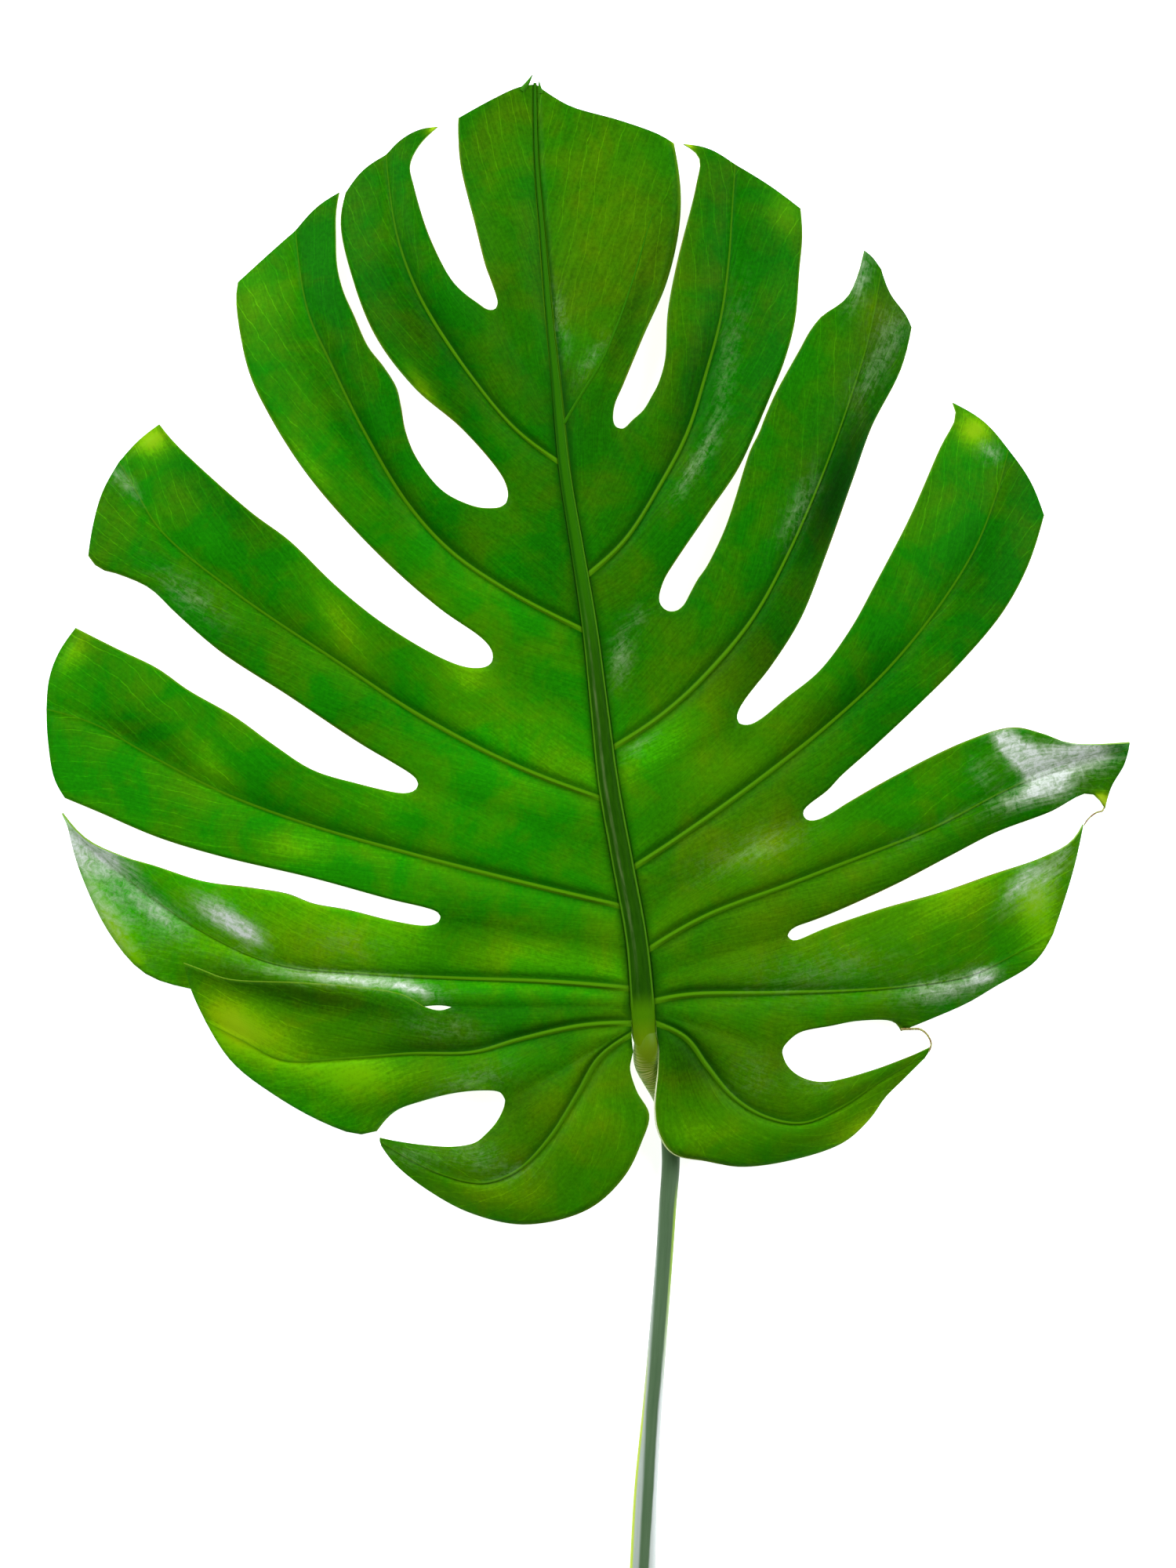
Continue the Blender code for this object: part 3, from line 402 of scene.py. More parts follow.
def with_heights(plan, heights):
    """The plan points as 3-D points, with the heights spread evenly along them."""
    even = np.column_stack([np.linspace(0, 1, len(heights)), np.zeros(len(heights)), heights])
    z = smooth_line(even, 60)[:, 2] if len(heights) > 2 else np.array(heights, float)
    return np.column_stack([plan, np.interp(np.linspace(0, 1, len(plan)), np.linspace(0, 1, len(z)), z)])


def at(table, place):
    """The value of a table of (place, value) rows at a place."""
    places, values = zip(*table)
    return np.interp(place, places, values)


MIDRIB_LINE = smooth_line(MIDRIB, 400)


def midrib_point(y, side):
    """Points on the midrib's left border for side -1, its middle for 0 or its right border for 1."""
    y = np.asarray(y, float)
    x = np.interp(y, MIDRIB_LINE[:, 1], MIDRIB_LINE[:, 0]) + side * at(MIDRIB_WIDTH_AT, y) / 2
    return np.stack([x, y, at(MIDRIB_HEIGHT_AT, y)], axis=-1)


def gap_edge(name, which):
    gap = GAPS[name]
    return [gap["end"]] + gap[which + "_side"]


def line_length(points):
    return np.linalg.norm(np.diff(np.array(points, float), axis=0), axis=1).sum()


def root_steps(name, side, steps):
    """How many of a lobe's steps lie between the midrib and the gap's inner end."""
    gap = GAPS[name]
    root = np.linalg.norm(midrib_point(gap["root"], side)[:2] - gap["end"])
    edges = [line_length(gap_edge(name, which)) for which in ("tip", "stalk") if which + "_side" in gap]
    return max(1, round(steps * root / (root + sum(edges) / len(edges))))


def root_line(name, side, steps):
    """The line in the blade from the midrib to a gap's inner end, which its two lobes share."""
    gap = GAPS[name]
    start = midrib_point(gap["root"], side)
    end = np.array([*gap["end"], gap["end_height"]])
    return start + np.linspace(0, 1, root_steps(name, side, steps) + 1)[:, None] * (end - start)


def free_edge(name, which, steps):
    """A gap's edge, with its points gathered towards the gap's rounded inner end."""
    gap = GAPS[name]
    fine = with_heights(smooth_line(gap_edge(name, which), 400), [gap["end_height"]] + gap[which + "_heights"])
    wanted = np.linspace(0, 1, steps + 1) ** 1.35
    return np.column_stack([np.interp(wanted * 400, np.arange(401), column) for column in fine.T])


def rim(points, start, end, fractions):
    """The outer rim from one 3-D point through plan points to another, read at fractions of its length."""
    plan = smooth_line([start[:2], *points, end[:2]], 200)
    whole = np.column_stack([plan, np.linspace(start[2], end[2], 201)])
    line = np.column_stack([np.interp(fractions * 200, np.arange(201), column) for column in whole.T])
    line[0], line[-1] = start, end
    return line


def blended(inner, outer, near, far, across):
    """A grid blended from its four edges: ruled one way plus ruled the other way, less the blend of the
    four corners."""
    along = np.linspace(0, 1, len(inner))[:, None, None]
    across = across[None, :, None]
    ruled = (1 - across) * inner[:, None] + across * outer[:, None]
    crossed = (1 - along) * near[None] + along * far[None]
    corners = ((1 - along) * ((1 - across) * inner[0] + across * outer[0])
               + along * ((1 - across) * inner[-1] + across * outer[-1]))
    return ruled + crossed - corners


def relaxed(plan, rounds=240):
    """The plan grid with its inner points moved to where the grid's lines would be level lines of a smooth
    field between its edges, so that no cell turns over."""
    plan = plan.copy()
    for _ in range(rounds):
        along = (plan[2:, 1:-1] - plan[:-2, 1:-1]) / 2
        across = (plan[1:-1, 2:] - plan[1:-1, :-2]) / 2
        wide, skew, long = ((p * q).sum(-1, keepdims=True) + 1e-9
                            for p, q in ((across, across), (along, across), (along, along)))
        twist = (plan[2:, 2:] - plan[2:, :-2] - plan[:-2, 2:] + plan[:-2, :-2]) / 4
        plan[1:-1, 1:-1] = (wide * (plan[2:, 1:-1] + plan[:-2, 1:-1])
                            + long * (plan[1:-1, 2:] + plan[1:-1, :-2])
                            - 2 * skew * twist) / (2 * (wide + long))
    return plan


def read_grid(grid, rows, columns):
    """A grid read at fractions along and across it, by straight lines between its points."""
    u = np.linspace(0, 1, grid.shape[0])
    v = np.linspace(0, 1, grid.shape[1])
    first = np.stack([[np.interp(rows, u, column) for column in grid[..., axis].T]
                      for axis in range(grid.shape[2])], axis=-1).transpose(1, 0, 2)
    return np.stack([[np.interp(columns, v, row) for row in first[..., axis]]
                     for axis in range(grid.shape[2])], axis=-1)


def patch_grid(inner, outer, near, far, across):
    """The four-sided patch between its edges: the blend of them, moved in plan by how far a coarse copy of
    it moves when relaxed."""
    rows = np.linspace(0, 1, COARSE_ALONG + 1)
    columns = np.linspace(0, 1, COARSE_ACROSS + 1)
    along = np.linspace(0, 1, len(inner))
    thin = [np.column_stack([np.interp(rows, along, c) for c in line.T]) for line in (inner, outer)]
    ends = [np.column_stack([np.interp(columns, across, c) for c in line.T]) for line in (near, far)]
    coarse = blended(*thin, *ends, columns)[..., :2]
    shift = read_grid(relaxed(coarse) - coarse, along, across)
    grid = blended(inner, outer, near, far, across)
    grid[..., :2] += shift
    return grid


class Skin:
    """The blade's upper face gathered from its patches: points, quads, and for each quad corner its place in
    its lobe (mm along and across the vein) and its traits (fraction across, tone, rib and tip)."""

    def __init__(self):
        self.points = []
        self.quads = []
        self.place = []
        self.trait = []
        self.spots = []
        self.count = 0

    def add(self, grid, place, trait):
        rows, columns = grid.shape[:2]
        number = np.arange(rows * columns).reshape(rows, columns) + self.count
        a, b, c, d = number[:-1, :-1], number[1:, :-1], number[1:, 1:], number[:-1, 1:]
        quads = np.stack([a, b, c, d], axis=-1).reshape(-1, 4)
        self.points.append(grid.reshape(-1, 3))
        self.quads.append(quads)
        self.place.append(place.reshape(-1, 3))
        self.trait.append(trait.reshape(-1, 4))
        spots = [spots_at(table, grid) for table in (PAINTED_HIGHLIGHT_SPOTS, BRIGHT_SPOTS, DARK_SPOTS, OLIVE_SPOTS)]
        self.spots.append(np.stack(spots, axis=-1).reshape(-1, 4))
        self.count += rows * columns

    def merged(self):
        """Points that patches share made one. The small offset keeps round numbers from falling either way."""
        points = np.vstack(self.points)
        quads = np.vstack(self.quads)
        key = np.floor(points / SAME_PLACE + 0.31).astype(np.int64)
        _, first, index = np.unique(key, axis=0, return_index=True, return_inverse=True)
        index = index.reshape(-1)
        return points[first], quads, index, (np.vstack(self.place), np.vstack(self.trait), np.vstack(self.spots))


def spots_at(spots, grid):
    """How strongly soft spots cover each point: the sum of bell curves over turned ellipses."""
    total = np.zeros(grid.shape[:2])
    for x, y, long, wide, turn, strength in spots:
        angle = np.radians(turn)
        right, up = grid[..., 0] - x, grid[..., 1] - y
        run = (right * np.cos(angle) + up * np.sin(angle)) / long
        off = (up * np.cos(angle) - right * np.sin(angle)) / wide
        total += strength * np.exp(-1.2 * (run**2 + off**2))
    return np.clip(total, -1, 2.6)


def vein_relief(grid, along, across, u, v, depth):
    """The groove along a side vein with a thin ridge in it: depth times a bell curve 2.6 mm wide, less a
    ridge 0.9 mm wide, fading to nothing at the half lobe's edge and growing shallow towards its tip."""
    near = np.abs(across)
    groove = -depth * np.exp(-(near / 2.6) ** 2) + 1.1 * depth * np.exp(-(near / 0.9) ** 2)
    start = np.clip(along / 8, 0, 1)
    grid[..., 2] += groove * (1 - 0.75 * u) * (1 - v**2) * start
    return grid


def add_half_lobe(skin, key, lobe, gap, which, through, tone, seed, settings):
    """Half a side lobe: the surface between its vein and its edge, ruled both ways, swollen up by
    SWELL sin(pi v) sin(pi u) and grooved along the vein."""
    side, steps = lobe["side"], settings.steps_along
    v = np.linspace(0, 1, settings.steps_across + 1) ** 1.5
    start = midrib_point(lobe["vein"][0][1], side)
    vein = smooth_line([start[:2]] + lobe["vein"][1:], steps)
    vein = with_heights(vein, [start[2]] + lobe["heights"])
    name = lobe[gap]
    root = root_line(name, side, steps)
    edge = np.vstack([root, free_edge(name, which, steps - len(root) + 1)[1:]])
    near = midrib_point(start[1] + (GAPS[name]["root"] - start[1]) * v, side)
    far = rim(lobe[through], vein[-1], edge[-1], v)
    grid = patch_grid(vein, edge, near, far, v)
    u = np.linspace(0, 1, steps + 1)[:, None] + 0 * v
    v = v + 0 * u
    grid[..., 2] += SWELL * np.sin(np.pi * v) * np.sin(np.pi * u)
    length = np.linalg.norm(np.diff(vein, axis=0), axis=1).sum()
    width = np.linalg.norm(edge - vein, axis=1)[:, None]
    away = 1 if gap == "above" else -1
    along, across = u * length, away * v * width
    grid = vein_relief(grid, along, across, u, v, settings.vein_depth / MM)
    free = np.clip((u - (len(root) - 1) / steps) / 0.08, 0, 1)
    # The tone is partly painted shade and light over the whole half lobe
    tone = tone * (1 - (1 - free) * v**2)
    place = np.stack([along, across, seed + 0 * u], axis=-1)
    skin.add(grid, place, np.stack([v, tone, u, free], axis=-1))


def add_end_half(skin, side, name, tone, seed, settings):
    """Half of the lobe at the leaf's tip: the surface between the midrib and the gap's edge, ruled both
    ways and swollen up as the side lobes are."""
    steps = settings.steps_along
    root = root_line(name, side, steps)
    v = np.linspace(0, 1, len(root))
    top = MIDRIB[-1][1]
    inner = midrib_point(np.linspace(GAPS[name]["root"], top, steps + 1), side)
    outer = free_edge(name, "tip", steps)
    far = rim(END_RIM[side], inner[-1], outer[-1], v)
    grid = patch_grid(inner, outer, root, far, v)
    u = np.linspace(0, 1, steps + 1)[:, None] + 0 * v
    v = v + 0 * u
    grid[..., 2] += SWELL * np.sin(np.pi * v) * np.sin(np.pi * u)
    length = np.linalg.norm(np.diff(inner, axis=0), axis=1).sum()
    width = np.linalg.norm(outer - inner, axis=1)[:, None]
    free = np.clip(u / 0.15, 0, 1)
    place = np.stack([END_START + u * length, side * v * width, seed + 0 * u], axis=-1)
    skin.add(grid, place, np.stack([v, tone * free, u, free], axis=-1))


def leaf_skin(settings):
    skin = Skin()
    for seed, (key, lobe) in enumerate(LOBES.items()):
        for gap, which, through in (("above", "stalk", "rim_above"), ("below", "tip", "rim_below")):
            tone = TONE_AND_SHADE[key][gap]
            add_half_lobe(skin, key, lobe, gap, which, through, tone, seed, settings)
    add_end_half(skin, -1, "A", TONE_AND_SHADE["end"]["above"], len(LOBES), settings)
    add_end_half(skin, 1, "a", TONE_AND_SHADE["end"]["below"], len(LOBES), settings)
    return skin


def carried(profile, centre, side, up):
    """A closed profile carried along a path: each point is the path's point plus the profile's two numbers
    times the path's side and up directions. profile: rings x points x 2; centre, side, up: rings x 3."""
    return (centre[:, None] + profile[..., 0:1] * side[:, None] + profile[..., 1:2] * up[:, None])


def ring_faces(rings, points):
    """Quads between neighbouring rings of points, and the two end faces."""
    number = np.arange(rings * points).reshape(rings, points)
    turned = np.roll(number, -1, axis=1)
    quads = np.stack([number[:-1], turned[:-1], turned[1:], number[1:]], axis=-1).reshape(-1, 4)
    return quads, [number[0][::-1].tolist(), number[-1].tolist()]


def sides_of(line):
    """Unit vectors to the right of a line in plan, for each of its points."""
    ahead = np.gradient(line[:, :2], axis=0)
    ahead /= np.linalg.norm(ahead, axis=1)[:, None]
    return np.column_stack([ahead[:, 1], -ahead[:, 0], np.zeros(len(line))])


def new_object(name, points, faces, smooth=True):
    """A mesh object from points in mm from the leaf's base, its origin at the frame's."""
    mesh = bpy.data.meshes.new(name)
    mesh.from_pydata((points + BASE) * MM, [], faces)
    mesh.polygons.foreach_set("use_smooth", np.full(len(mesh.polygons), smooth))
    thing = bpy.data.objects.new(name, mesh)
    bpy.context.scene.collection.objects.link(thing)
    return thing


def set_attribute(mesh, name, values, domain):
    """Stores three numbers as a vector, or four as a colour with alpha."""
    kind, field = ("FLOAT_VECTOR", "vector") if values.shape[-1] == 3 else ("FLOAT_COLOR", "color")
    attribute = mesh.attributes.new(name, kind, domain)
    attribute.data.foreach_set(field, np.ascontiguousarray(values, np.float32).reshape(-1))


def linear(colour):
    """A hex sRGB colour as linear red, green, blue and full alpha."""
    part = np.array([int(colour[i:i + 2], 16) for i in (1, 3, 5)]) / 255
    part = np.where(part <= 0.04045, part / 12.92, ((part + 0.055) / 1.055) ** 2.4)
    return (*part.tolist(), 1.0)


def add_node(tree, kind, inputs=None, **settings):
    """Adds a shader node. settings are its own properties; inputs give each socket a value, or the socket
    that feeds it."""
    made = tree.nodes.new(kind)
    for name, value in settings.items():
        setattr(made, name, value)
    for name, value in (inputs or {}).items():
        if isinstance(value, bpy.types.NodeSocket):
            tree.links.new(value, made.inputs[name])
        else:
            made.inputs[name].default_value = value
    return made


def new_material(name):
    """A material with only its output node and the Principled shader that feeds it."""
    material = bpy.data.materials.new(name)
    material.use_nodes = True
    return material, material.node_tree, material.node_tree.nodes["Principled BSDF"]


def leaf_top_material():
    """Upper face of a monstera leaf: waxy green, with side veins, fine fibres and slanting net veins, and with painted
    highlights, painted backlight and painted shade.
    """
    material, tree, shader = new_material("monstera leaf, waxy upper face")
    math, spread, mix = "ShaderNodeMath", "ShaderNodeMapRange", "ShaderNodeMix"
    read = [add_node(tree, "ShaderNodeAttribute", attribute_name=name) for name in ("place", "trait", "spots")]
    place, trait, spots = (add_node(tree, "ShaderNodeSeparateXYZ", {0: made.outputs["Vector"]}).outputs
                           for made in read)
    free, olive = read[1].outputs["Alpha"], read[2].outputs["Alpha"]
    along, across, seed = (place[i] for i in range(3))
    edge, tone, way = (trait[i] for i in range(3))
    # The spots: painted highlights, lighter spots (partly painted backlight) and darker spots (mostly painted shade)
    painted_highlight, bright, dark = (spots[i] for i in range(3))
    body = add_node(tree, "ShaderNodeTexCoord").outputs["Object"]
    away = add_node(tree, math, {0: across}, operation="ABSOLUTE").outputs[0]

    # Fibres: fine streaks that run along the lobe and slowly out to its edge
    outward = add_node(tree, math, {0: edge, 1: 18.0}, operation="MULTIPLY").outputs[0]
    outward = add_node(tree, math, {0: along, 1: -0.14, 2: outward}, operation="MULTIPLY_ADD").outputs[0]
    streak_place = add_node(tree, "ShaderNodeCombineXYZ", {0: outward, 1: along, 2: seed}).outputs[0]
    fibre_place = add_node(tree, "ShaderNodeMapping", {0: streak_place, 3: (2.0, 0.05, 7.0)}).outputs[0]
    fibre = add_node(tree, "ShaderNodeTexNoise", {"Vector": fibre_place, "Scale": 1.0, "Detail": 5.0,
                                                   "Roughness": 0.7}).outputs[0]
    cloud = add_node(tree, "ShaderNodeTexNoise", {"Vector": body, "Scale": 30.0, "Detail": 5.0,
                                                   "Roughness": 0.55}).outputs[0]
    mottle = add_node(tree, "ShaderNodeTexNoise", {"Vector": body, "Scale": 55.0, "Detail": 5.0,
                                                    "Roughness": 0.6, "Distortion": 0.4}).outputs[0]
    speckle = add_node(tree, "ShaderNodeTexNoise", {"Vector": body, "Scale": 900.0, "Detail": 3.0,
                                                     "Roughness": 0.7}).outputs[0]

    # Net veins: thin lines one every 17 mm along the vein, bent by a soft noise
    lean = add_node(tree, math, {0: away, 1: -3.6, 2: along}, operation="MULTIPLY_ADD").outputs[0]
    bend = add_node(tree, math, {0: cloud, 1: 34.0, 2: lean}, operation="MULTIPLY_ADD").outputs[0]
    turns = add_node(tree, math, {0: bend, 1: 17.0}, operation="DIVIDE").outputs[0]
    phase = add_node(tree, math, {0: turns, 1: 0.5}, operation="PINGPONG").outputs[0]
    line = add_node(tree, spread, {0: phase, 1: 0.0, 2: 0.045, 3: 1.0, 4: 0.0},
                    interpolation_type="SMOOTHSTEP").outputs[0]
    shown = add_node(tree, spread, {0: mottle, 1: 0.4, 2: 0.6, 3: 0.3, 4: 0.75}).outputs[0]
    for part in (line, free):
        shown = add_node(tree, math, {0: shown, 1: part}, operation="MULTIPLY").outputs[0]
    net_part = add_node(tree, math, {0: shown, 1: way}, operation="MULTIPLY").outputs[0]

    # Side vein: a light line, narrower towards the lobe's tip, with painted shade in the groove on its flanks,
    # stronger on one side
    half = add_node(tree, math, {0: way, 1: -0.85, 2: 1.1}, operation="MULTIPLY_ADD").outputs[0]
    from_vein = add_node(tree, math, {0: away, 1: half}, operation="DIVIDE").outputs[0]
    vein = add_node(tree, spread, {0: from_vein, 1: 0.6, 2: 1.1, 3: 1.0, 4: 0.0},
                    interpolation_type="SMOOTHSTEP").outputs[0]
    dying = add_node(tree, spread, {0: way, 1: 0.45, 2: 0.9, 3: 1.0, 4: 0.5}).outputs[0]
    vein = add_node(tree, math, {0: vein, 1: dying}, operation="MULTIPLY").outputs[0]
    groove_shade = add_node(tree, spread, {0: from_vein, 1: 1.0, 2: 4.0, 3: 0.75, 4: 0.0},
                     interpolation_type="SMOOTHSTEP").outputs[0]
    side = add_node(tree, spread, {0: across, 1: -0.5, 2: 0.5, 3: 0.45, 4: 1.0}).outputs[0]
    painted_groove_shade = add_node(tree, math, {0: groove_shade, 1: side}, operation="MULTIPLY").outputs[0]
    fading = add_node(tree, spread, {0: way, 1: 0.5, 2: 0.95, 3: 1.0, 4: 0.15}).outputs[0]
    painted_groove_shade = add_node(tree, math, {0: painted_groove_shade, 1: fading}, operation="MULTIPLY").outputs[0]
    # Painted shade along the midrib, fading out 5 mm from it
    by_midrib = add_node(tree, spread, {0: along, 1: 0.0, 2: 5.0, 3: 0.7, 4: 0.0},
                         interpolation_type="SMOOTHSTEP").outputs[0]
    painted_groove_shade = add_node(tree, math, {0: painted_groove_shade, 1: by_midrib}, operation="MAXIMUM").outputs[0]
    margin = add_node(tree, spread, {0: edge, 1: 0.975, 2: 1.0, 3: 0.0, 4: 0.45}).outputs[0]
    margin = add_node(tree, math, {0: margin, 1: free}, operation="MULTIPLY").outputs[0]

    # Colour: deep to bright green by tone, bands, fibres and spots, turned to olive, then painted backlight, painted
    # shade in the grooves, net and vein. Tone and the dark spots are partly painted shade and light
    mixed = tone
    for part, amount in ((cloud, 0.3), (fibre, 0.38), (speckle, 0.4), (bright, 0.42), (dark, -0.45),
                         (net_part, 0.36)):
        mixed = add_node(tree, math, {0: part, 1: amount, 2: mixed}, operation="MULTIPLY_ADD").outputs[0]
    ramp = add_node(tree, "ShaderNodeValToRGB", {0: mixed})
    stops = ramp.color_ramp.elements
    stops[0].position, stops[0].color = 0.08, linear("#083801")
    stops[1].position, stops[1].color = 1.0, linear("#2EB403")
    for position, colour in ((0.34, "#084F01"), (0.54, "#0F6C01"), (0.79, "#1B8C02")):
        stops.new(position).color = linear(colour)
    turn = add_node(tree, spread, {0: mottle, 1: 0.42, 2: 0.68, 3: 0.0, 4: -0.03}).outputs[0]
    turn = add_node(tree, math, {0: olive, 1: -0.05, 2: turn}, operation="MULTIPLY_ADD").outputs[0]
    turn = add_node(tree, math, {0: bright, 1: -0.055, 2: turn}, operation="MULTIPLY_ADD").outputs[0]
    hue = add_node(tree, math, {0: turn, 1: 0.5}, operation="ADD").outputs[0]
    green = add_node(tree, "ShaderNodeHueSaturation", {"Hue": hue, "Color": ramp.outputs[0]}).outputs[0]
    # Painted backlight: yellow-green where light shines through thin tips, also the yellowed tips
    backlight_and_yellowing = add_node(tree, spread, {0: bright, 1: 0.7, 2: 2.0, 3: 0.0, 4: 0.75}).outputs[0]
    for part, colour in ((backlight_and_yellowing, "#A9D52C"), (painted_groove_shade, "#0B3F01"), (margin, "#8DB32A"), (vein, "#4B8606")):
        green = add_node(tree, mix, {0: part, 6: green, 7: linear(colour)}, data_type="RGBA").outputs[2]

    # Painted highlight: pale crinkled streaks where a spot stands for the lamps' glare on the wax; the same mask
    # raises the specular level
    wrinkle_place = add_node(tree, "ShaderNodeMapping", {0: streak_place, 3: (0.7, 0.09, 7.0)}).outputs[0]
    wrinkle = add_node(tree, "ShaderNodeTexNoise", {"Vector": wrinkle_place, "Scale": 1.0, "Detail": 6.0,
                                                     "Roughness": 0.75, "Distortion": 0.6}).outputs[0]
    grit = add_node(tree, "ShaderNodeTexNoise", {"Vector": body, "Scale": 420.0, "Detail": 4.0,
                                                  "Roughness": 0.7, "Distortion": 0.8}).outputs[0]
    wrinkle = add_node(tree, mix, {0: 0.5, 2: wrinkle, 3: grit}, data_type="FLOAT").outputs[0]
    crinkle = add_node(tree, math, {0: wrinkle, 1: 4.6, 2: -2.3}, operation="MULTIPLY_ADD").outputs[0]
    covered = add_node(tree, math, {0: painted_highlight, 1: 1.05}, operation="MINIMUM").outputs[0]
    painted_highlight_and_gloss = add_node(tree, math, {0: covered, 1: crinkle}, operation="ADD").outputs[0]
    painted_highlight_and_gloss = add_node(tree, spread, {0: painted_highlight_and_gloss, 1: 0.0, 2: 1.35, 3: 0.0, 4: 1.0}).outputs[0]
    painted_highlight_and_gloss = add_node(tree, math, {0: painted_highlight_and_gloss, 1: covered}, operation="MULTIPLY").outputs[0]
    highlight_colour = add_node(tree, mix, {0: painted_highlight_and_gloss, 6: linear("#9FC47A"), 7: linear("#DFEAE3")},
                     data_type="RGBA").outputs[2]
    green = add_node(tree, mix, {0: painted_highlight_and_gloss, 6: green, 7: highlight_colour}, data_type="RGBA").outputs[2]
    tree.links.new(green, shader.inputs["Base Color"])

    # Sheen and relief
    level = add_node(tree, math, {0: painted_highlight_and_gloss, 1: 0.5, 2: 0.015}, operation="MULTIPLY_ADD").outputs[0]
    tree.links.new(level, shader.inputs["Specular IOR Level"])
    height = add_node(tree, math, {0: speckle, 1: 0.35, 2: fibre}, operation="MULTIPLY_ADD").outputs[0]
    bump = add_node(tree, "ShaderNodeBump", {"Height": height, "Strength": 0.4, "Distance": 0.0002}).outputs[0]
    tree.links.new(bump, shader.inputs["Normal"])
    shader.inputs["Roughness"].default_value = 0.36
    return material


def midrib_material():
    """Midrib from above: dark waxy green between light grooved borders, with a painted grey sheen left of its
    middle, painted shade along its edges and over its left side near the tip, turning olive where it joins the stalk."""
    material, tree, shader = new_material("monstera midrib, waxy")
    math, spread, mix = "ShaderNodeMath", "ShaderNodeMapRange", "ShaderNodeMix"
    place = add_node(tree, "ShaderNodeAttribute", attribute_name="place").outputs["Vector"]
    y, a, _ = add_node(tree, "ShaderNodeSeparateXYZ", {0: place}).outputs
    grain_place = add_node(tree, "ShaderNodeMapping", {0: place, 3: (0.16, 4.0, 1.0)}).outputs[0]
    grain = add_node(tree, "ShaderNodeTexNoise", {"Vector": grain_place, "Scale": 1.0, "Detail": 5.0,
                                                   "Roughness": 0.65}).outputs[0]
    from_middle = add_node(tree, math, {0: a}, operation="ABSOLUTE").outputs[0]
    off = add_node(tree, math, {0: grain, 1: 0.16, 2: from_middle}, operation="MULTIPLY_ADD").outputs[0]
    border = add_node(tree, spread, {0: off, 1: 0.86, 2: 0.93, 3: 0.0, 4: 0.8},
                      interpolation_type="SMOOTHSTEP").outputs[0]
    faint = add_node(tree, spread, {0: y, 1: 110.0, 2: 200.0, 3: 1.0, 4: 0.35}).outputs[0]
    border = add_node(tree, math, {0: border, 1: faint}, operation="MULTIPLY").outputs[0]
    # Painted shade: dark along both edges in the grooves, taken off the right edge in the upper part
    outer = add_node(tree, spread, {0: from_middle, 1: 0.93, 2: 1.0, 3: 0.0, 4: 1.0},
                     interpolation_type="SMOOTHSTEP").outputs[0]
    # Painted sheen: a grey streak left of the middle, on the lower part only
    sheen_off = add_node(tree, math, {0: a, 1: 0.3}, operation="ADD").outputs[0]
    sheen_off = add_node(tree, math, {0: sheen_off}, operation="ABSOLUTE").outputs[0]
    painted_sheen = add_node(tree, spread, {0: sheen_off, 1: 0.0, 2: 0.24, 3: 0.85, 4: 0.0},
                     interpolation_type="SMOOTHSTEP").outputs[0]
    low = add_node(tree, spread, {0: y, 1: 5.0, 2: 35.0, 3: 0.0, 4: 1.0}).outputs[0]
    high = add_node(tree, spread, {0: y, 1: 105.0, 2: 140.0, 3: 1.0, 4: 0.0}).outputs[0]
    patchy = add_node(tree, spread, {0: grain, 1: 0.4, 2: 0.62, 3: 0.25, 4: 0.85}).outputs[0]
    for part in (low, high, patchy):
        painted_sheen = add_node(tree, math, {0: painted_sheen, 1: part}, operation="MULTIPLY").outputs[0]
    base = add_node(tree, spread, {0: y, 1: 2.0, 2: 10.0, 3: 1.0, 4: 0.0},
                    interpolation_type="SMOOTHSTEP").outputs[0]
    joint = add_node(tree, spread, {0: y, 1: -9.0, 2: 1.0, 3: 1.0, 4: 0.0}).outputs[0]
    light = add_node(tree, spread, {0: y, 1: 105.0, 2: 145.0, 3: 0.0, 4: 0.85}).outputs[0]
    # Painted shade over the left side in the upper part
    shade = add_node(tree, spread, {0: a, 1: -0.75, 2: -0.2, 3: 0.8, 4: 0.0},
                     interpolation_type="SMOOTHSTEP").outputs[0]
    shade = add_node(tree, math, {0: shade, 1: light}, operation="MULTIPLY").outputs[0]
    green = add_node(tree, mix, {0: grain, 6: linear("#0E3602"), 7: linear("#2E6606")},
                     data_type="RGBA").outputs[2]
    clear = add_node(tree, spread, {0: a, 1: 0.0, 2: 0.2, 3: 0.0, 4: 1.0}).outputs[0]
    clear = add_node(tree, math, {0: clear, 1: light}, operation="MULTIPLY").outputs[0]
    outer = add_node(tree, math, {0: outer, 1: clear}, operation="SUBTRACT", use_clamp=True).outputs[0]
    for part, colour in ((light, "#2B7003"), (painted_sheen, "#5C7440"), (border, "#4E8A14"),
                         (shade, "#0E4B01"), (outer, "#123F02"),
                         (base, "#487F03"), (joint, "#6C8A08")):
        green = add_node(tree, mix, {0: part, 6: green, 7: linear(colour)}, data_type="RGBA").outputs[2]
    tree.links.new(green, shader.inputs["Base Color"])
    bump = add_node(tree, "ShaderNodeBump", {"Height": grain, "Strength": 0.4, "Distance": 0.0003}).outputs[0]
    tree.links.new(bump, shader.inputs["Normal"])
    shader.inputs["Roughness"].default_value = 0.38
    shader.inputs["Specular IOR Level"].default_value = 0.015
    return material


